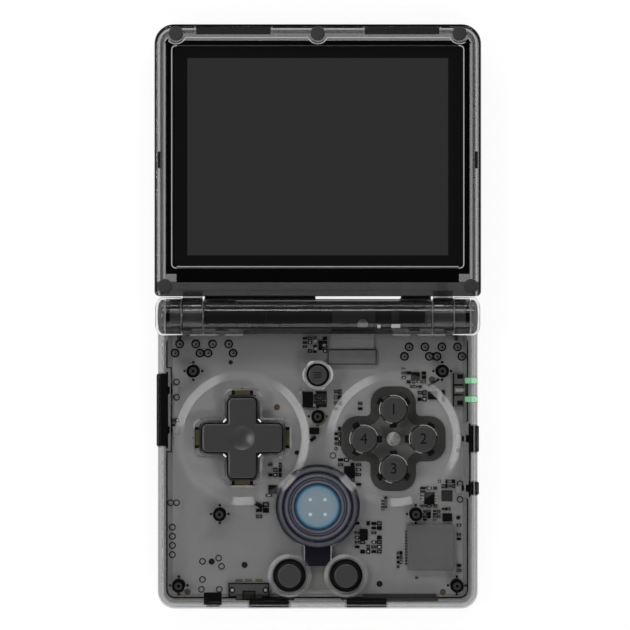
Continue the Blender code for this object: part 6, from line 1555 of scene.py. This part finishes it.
class CONSOLE_OT_under_board(bpy.types.Operator):
    """Make the battery, the sockets, the radio module and the aerial strip"""
    bl_idname = "console.under_board"
    bl_label = "Battery and sockets"

    def execute(self, context):
        refined("battery", "battery_pouch", "battery_foil", "base", bevel=0.0)
        for node in ("usb_socket", "video_socket", "card_socket_left", "card_socket_right"):
            refined(node, node + "_shell", "nickel", "base", bevel=0.08)
        refined("headphone_jack", "headphone_barrel", "chip_black", "base", bevel=0.08)
        can = soft_plate(
            lambda inset: rounded(24.6, 37.2, -69.3, -56.7, 0.6, 0.6, inset, 6), 8.25, 10.05, 0.25, 3, both=False,
        )
        piece("radio_can", can, "shield", "base", ("radio_module",))
        refined("aerial_strip", "aerial", "strip_grey", "base")
        for number in range(1, 8):
            refined(f"case_screw_{number}", f"case_screw_{number}_turned", "steel", "base")
        return {"FINISHED"}


class CONSOLE_OT_speaker(bpy.types.Operator):
    """Make the speaker with its ridged ring and film dome"""
    bl_idname = "console.speaker"
    bl_label = "Speaker"

    def execute(self, context):
        top = CEILING - 0.25
        place = (0, SPEAKER_Y, 0)
        basket = [
            (5.6, top - 1.8), (9.3, top - 1.1), (9.35, top - 0.4), (9.6, top - 0.1), (10.1, top - 0.05),
            (10.8, top - 0.3), (11.1, top - 0.6), (11.2, top - 1.0), (11.2, top - 3.6), (7.0, top - 3.6),
            (7.0, top - 5.4),
        ]
        tail = bar(SPEAKER_Y - 16.2, SPEAKER_Y - 10.4, 9.7, 10.7, -3.5, 3.5)
        piece(
            "speaker_body", lathe(basket, place, steps=96), "speaker_metal", "base",
            ("speaker_basket",), carving=[(JOIN, tail)],
        )
        # Three waves across the ring
        ridges = [(6.35 + 2.85 * t, top - 0.42 + 0.16 * math.sin(t * 3.0 * TURN)) for t in np.linspace(0, 1, 40)]
        ring = lathe([(6.35, top - 0.95)] + ridges + [(9.2, top - 0.95)], place, steps=120, closed=True)
        piece("speaker_ring", ring, "speaker_metal", "base")
        film = [(6.3, top - 0.7), (6.28, top - 0.38), (5.2, top - 0.30), (3.6, top - 0.2), (1.6, top - 0.12)]
        dome = lathe(film, place, steps=96)
        piece("speaker_dome", dome, "dome_film", "base", ("speaker_film",))
        return {"FINISHED"}


# Keys

def mark(name, text, size, x, y, z, body):
    """A flat mark made from plain text, as a thin mesh on a key's top."""
    curve = bpy.data.curves.new(name, "FONT")
    curve.body, curve.size, curve.align_x, curve.align_y = text, size * MM, "CENTER", "CENTER"
    curve.extrude = 0.01 * MM
    text_object = linked(name + "_text", curve)
    bpy.context.view_layer.update()
    mesh = bpy.data.meshes.new_from_object(text_object.evaluated_get(bpy.context.evaluated_depsgraph_get()))
    bpy.data.objects.remove(text_object)
    mesh.transform(Matrix.Translation(Vector((x, y, z)) * MM))
    obj = linked(name, mesh)
    closed_up(obj, 1e-7)
    dress(obj, "key_mark", body)


def round_pad(radius, turns, across=0.0):
    """Places round the cross pad, radius out and across to the side, each with its turn."""
    return [
        (
            PAD[0] + radius * math.cos(a) - across * math.sin(a),
            PAD[1] + radius * math.sin(a) + across * math.cos(a), a,
        )
        for a in turns
    ]


class CONSOLE_OT_pad(bpy.types.Operator):
    """Make the cross pad, its ball post and its silicone sheet"""
    bl_idname = "console.pad"
    bl_label = "Cross pad"

    def execute(self, context):
        underside, flange_top, top = PAD_LOW[2], PAD_LOW[2] + 0.9, PAD_HIGH[2]
        edge = 0.25

        def shape(grow, end=1.2, inner=0.6):
            """The pad's plus sign, grown outwards."""
            return plus_shape(10.85 + grow, 3.78 + grow, end, inner, 8)

        def frame_of(near, far, low, high):
            """A flat frame round the pad, from near to far outside it."""
            levels = ((near, low), (far, low), (far, high), (near, high))
            return skin([lift(shape(g, 1.2 + g, 0.55), level, *PAD) for g, level in levels], closed=True)

        rings = [lift(shape(0), underside, *PAD), lift(shape(0), flange_top, *PAD)]
        for a in np.linspace(0, RIGHT_ANGLE * 0.84, 7):
            rings.append(lift(shape(-edge * (1 - math.cos(a))), top - 0.1 - edge * (1 - math.sin(a)), *PAD))
        rings.append(lift(shape(-0.56), top, *PAD))
        dimple = [(3.5 * t, top - 0.75 * (1 - t * t)) for t in np.linspace(0.1, 1, 10)]
        dimple += [(3.52, top + 0.02), (3.52, top + 1)]
        socket = [(1.7, underside - 1), (1.7, underside), (1.2, underside + 1.2), (0.5, underside + 1.6)]
        piece(
            "cross_pad", skin(rings), "key_plastic", "direction_pad", ("direction_pad",),
            carving=[(CUT, turned_at([PAD], dimple, 64)), (CUT, turned_at([PAD], socket, 32))],
        )
        flange = frame_of(0.02, 1.0, underside, flange_top)
        piece("pad_flange", flange, "clear_silicone", "direction_pad")
        # Painted shade: a black frame in the gap round the pad
        gap = frame_of(0.03, 0.38, flange_top + 0.01, flange_top + 0.06)
        piece("pad_gap_shade", gap, "side_black", "direction_pad")
        refined("direction_pad_pivot", "pad_post", "steel", "direction_pad_rocker", bevel=0.0)
        refined("pad_silicone", "pad_sheet", "silicone_pale", "base", bevel=0.05)
        corners = [(PAD[0], PAD[1], s, t) for s in SIDES for t in SIDES]
        # Painted highlights at the inner corners of the pad's opening
        corner_glints = [(x + s * 4.75, y + t * 4.75, 1.1, 0.4, -s * t * math.pi / 4) for x, y, s, t in corners]
        piece("pad_corner_glints", blocks(corner_glints, TOP - 0.35, 0.3, 0.1), "edge_white", "base")
        # Painted shade: black wedges in the gaps at those corners
        shade_wedges = [(x + s * 4.28, y + t * 4.28, 1.7, 0.7, -s * t * math.pi / 4) for x, y, s, t in corners]
        piece("pad_corner_shade_wedges", blocks(shade_wedges, TOP - 0.5, 0.3, 0.05), "side_black", "base")
        turns = np.arange(4) * RIGHT_ANGLE
        low, reach = BOARD_TOP + 0.02, 12.3
        lines = [(x, y, 0.28, 7.4, a) for r in (11.45, 13.0) for x, y, a in round_pad(r, turns)]
        piece("pad_contact_lines", blocks(lines, low, 0.24), "side_black", "base")
        pads = [(x, y, 1.3, 4.2, a) for x, y, a in round_pad(reach, (0.0, math.pi, RIGHT_ANGLE, -RIGHT_ANGLE))]
        piece("pad_contacts", blocks(pads, low, 0.2), "gold_pad", "base")
        ends = [
            (x, y, 1.35, 0.8, a)
            for turn in turns
            for across in (-2.5, 2.5)
            for x, y, a in round_pad(reach, [turn], across)
        ]
        piece("pad_contact_ends", blocks(ends, low, 0.22), "side_black", "base")
        return {"FINISHED"}


def key_profile(radius, flange, low, flange_low, flange_top, top, edge=0.4, dish=0.0):
    """A round key's turned profile: skirt, flange, side, round edge and a slightly dished top."""
    profile = [
        (radius - 0.4, low), (radius, low + 0.4), (radius, flange_low), (flange, flange_low), (flange, flange_top),
        (radius, flange_top),
    ]
    profile += quarter_round(radius, top, edge)
    return profile + [(radius * 0.6, top - dish * 0.7), (radius * 0.2, top - dish)]


class CONSOLE_OT_round_keys(bpy.types.Operator):
    """Make the face keys, the menu key, the two lower keys and their silicone"""
    bl_idname = "console.round_keys"
    bl_label = "Round keys"

    def execute(self, context):
        foot, top = (corner[2] for corner in node_box("button_top"))
        flange_top, flange_low = CEILING - 0.25, CEILING - 1.05
        gap_low, gap_high = flange_top + 0.01, flange_top + 0.06

        def ring(name, place, inner, outer, low, high, finish, body, slot="control_grey"):
            """A thin flat ring round a key."""
            piece(name, rings_at([place], inner, outer, low, high, 56), finish, body)

        cap = key_profile(3.6, 3.63, foot, flange_low, flange_top, top, 0.45, 0.06)
        for node, x, y, inward, numeral in key_places():
            lugs = []
            for a in inward + np.arange(3) * TURN / 3:
                u, v = np.array([math.cos(a), math.sin(a)]), np.array([-math.sin(a), math.cos(a)])
                corners = np.array([u * r + v * w for r, w in ((3.2, -0.9), (5.0, -0.9), (5.0, 0.9), (3.2, 0.9))])
                lugs.append(plate(corners, flange_low + 0.2, flange_top - 0.2, x, y))
            piece(
                node + "_cap", lathe(cap, (x, y, 0), steps=64), "key_plastic", node, (node,),
                carving=[(JOIN, merged(lugs))],
            )
            # Painted shade: a black ring in the gap round the key
            ring(node + "_gap_shade", (x, y), 3.65, 3.9, gap_low, gap_high, "side_black", node)
            ring(node + "_flange", (x, y), 3.65, 4.2, flange_low, flange_top, "clear_silicone", node)
            mark(node + "_mark", numeral, 4.1, x, y, top - 0.005, node)
        cap = turned_at([MENU], key_profile(2.55, 3.3, foot, flange_low, flange_top, top, 0.3, 0.05), 56)
        piece("menu_cap", cap, "key_plastic", "menu_button", ("menu_button",))
        y = MENU[1]
        bars = merged([
            bar(y + d - 0.12, y + d + 0.12, top - 0.08, top + 0.005, -1.0, 1.0)
            for d in (-0.6, 0.0, 0.6)
        ])
        piece("menu_mark", bars, "key_mark", "menu_button")
        collar = TOP - 1.2
        cap = [
            (2.9, foot), (2.9, flange_low), (4.5, flange_low), (4.5, flange_top), (3.65, flange_top),
            (3.65, collar - 0.1), (3.55, collar), (3.2, collar),
        ]
        cap += quarter_round(3.2, top, 0.3) + [(1.9, top - 0.03), (0.6, top - 0.05)]
        for node, x in LOWER_KEYS:
            place = (x, LOWER_KEY_Y)
            # Painted shade: black rings in the gap and the well round the key
            ring(node + "_gap_shade", place, 3.22, 3.64, collar + 0.01, collar + 0.06, "side_black", node)
            ring(node + "_well_shade", place, 3.67, 4.45, gap_low, gap_high, "side_black", node)
            piece(node + "_cap", turned_at([place], cap, 56), "key_plastic", node, (node,))
        for node in ("face_button_silicone", "menu_silicone", "lower_silicone"):
            refined(node, node + "_sheet", "silicone_mid", "base", bevel=0.05)
        levels = ((0.0, 8.3), (0.0, 8.72), (2.7, 8.72), (2.7, 8.3))
        band_rings = [lift(plus_shape(14.3 - g, 6.2 - g, 4.5 - g, 1.2 + g), z, *CLUSTER) for g, z in levels]
        piece("cluster_band", skin(band_rings, closed=True), "silicone_band", "base")
        # Painted shade: a black ring in the gap round the menu key
        ring("menu_gap_shade", MENU, 2.53, 3.08, gap_low, gap_high, "side_black", "menu_button")
        ring("menu_glass", MENU, 3.15, 3.9, TOP - 1.3, TOP - 1.1, "glass_pale", "base", "silicone")
        # Glints round the menu key, each thickest in its middle
        arcs = []
        for start, end, inner, outer in (
            (-30, 42, 3.6, 4.2), (105, 138, 3.4, 4.2), (152, 210, 3.75, 4.15), (285, 300, 3.85, 4.15),
        ):
            taper = (outer - inner) / 2 * np.sin(np.linspace(0.12, math.pi - 0.12, 24)) ** 0.5
            middle = (inner + outer) / 2
            arc = arc_band(middle - taper, middle + taper, np.radians(np.linspace(start, end, 24)))
            arcs.append(plate(arc, TOP - 0.3, TOP - 0.03, *MENU))
        piece("menu_arcs", merged(arcs), "edge_pale", "base")
        return {"FINISHED"}


class CONSOLE_OT_side_keys(bpy.types.Operator):
    """Make the side and shoulder keys and the light guides"""
    bl_idname = "console.side_keys"
    bl_label = "Side keys and lights"

    def execute(self, context):
        for node in ("volume_rocker", "power_button", "reset_button"):
            refined(node, node + "_key", "side_key", node, bevel=0.15)
        for node in ("left_outer_shoulder", "right_outer_shoulder", "left_inner_shoulder", "right_inner_shoulder"):
            refined(node, node + "_key", "key_plastic", node, bevel=0.15)
        lights = merged([soft_bar(40.2, 43.5, y - 0.75, y + 0.75, 8.85, 10.35) for y in LIGHTS_Y])
        piece("light_guide_bars", lights, "light_guide", "base", ("light_guide",))
        piece(
            "light_guide_web", bar(-21.8, -18.3, 8.95, 10.25, 40.3, 41.0), "plain_smoke", "base",
            bevel=0.1,
        )
        return {"FINISHED"}


class CONSOLE_PT_panel(bpy.types.Panel):
    """The console's tools in the sidebar"""
    bl_label = "Console"
    bl_space_type = "VIEW_3D"
    bl_region_type = "UI"
    bl_category = "Console"

    def draw(self, context):
        look = look_of(context)
        for key in ConsoleLook.__annotations__:
            self.layout.prop(look, key)
        for operator in OPERATORS:
            self.layout.operator(operator.bl_idname)


OPERATORS = (
    CONSOLE_OT_finishes, CONSOLE_OT_stage,
    CONSOLE_OT_base_case, CONSOLE_OT_lid_case, CONSOLE_OT_hinge, CONSOLE_OT_screen, CONSOLE_OT_lid_trim,
    CONSOLE_OT_board, CONSOLE_OT_under_board, CONSOLE_OT_speaker,
    CONSOLE_OT_pad, CONSOLE_OT_round_keys, CONSOLE_OT_side_keys,
)
CLASSES = (ConsoleLook, *OPERATORS, CONSOLE_PT_panel)


def register():
    """Adds the settings, the operators and the panel."""
    for cls in CLASSES:
        bpy.utils.register_class(cls)
    bpy.types.Scene.console_look = bpy.props.PointerProperty(type=ConsoleLook)


def unregister():
    """Takes them out again."""
    del bpy.types.Scene.console_look
    for cls in reversed(CLASSES):
        bpy.utils.unregister_class(cls)


def main():
    """Makes the console."""
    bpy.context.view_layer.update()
    register()
    for operator in OPERATORS:
        group, name = operator.bl_idname.split(".")
        getattr(getattr(bpy.ops, group), name)()


if __name__ == "__main__":
    main()
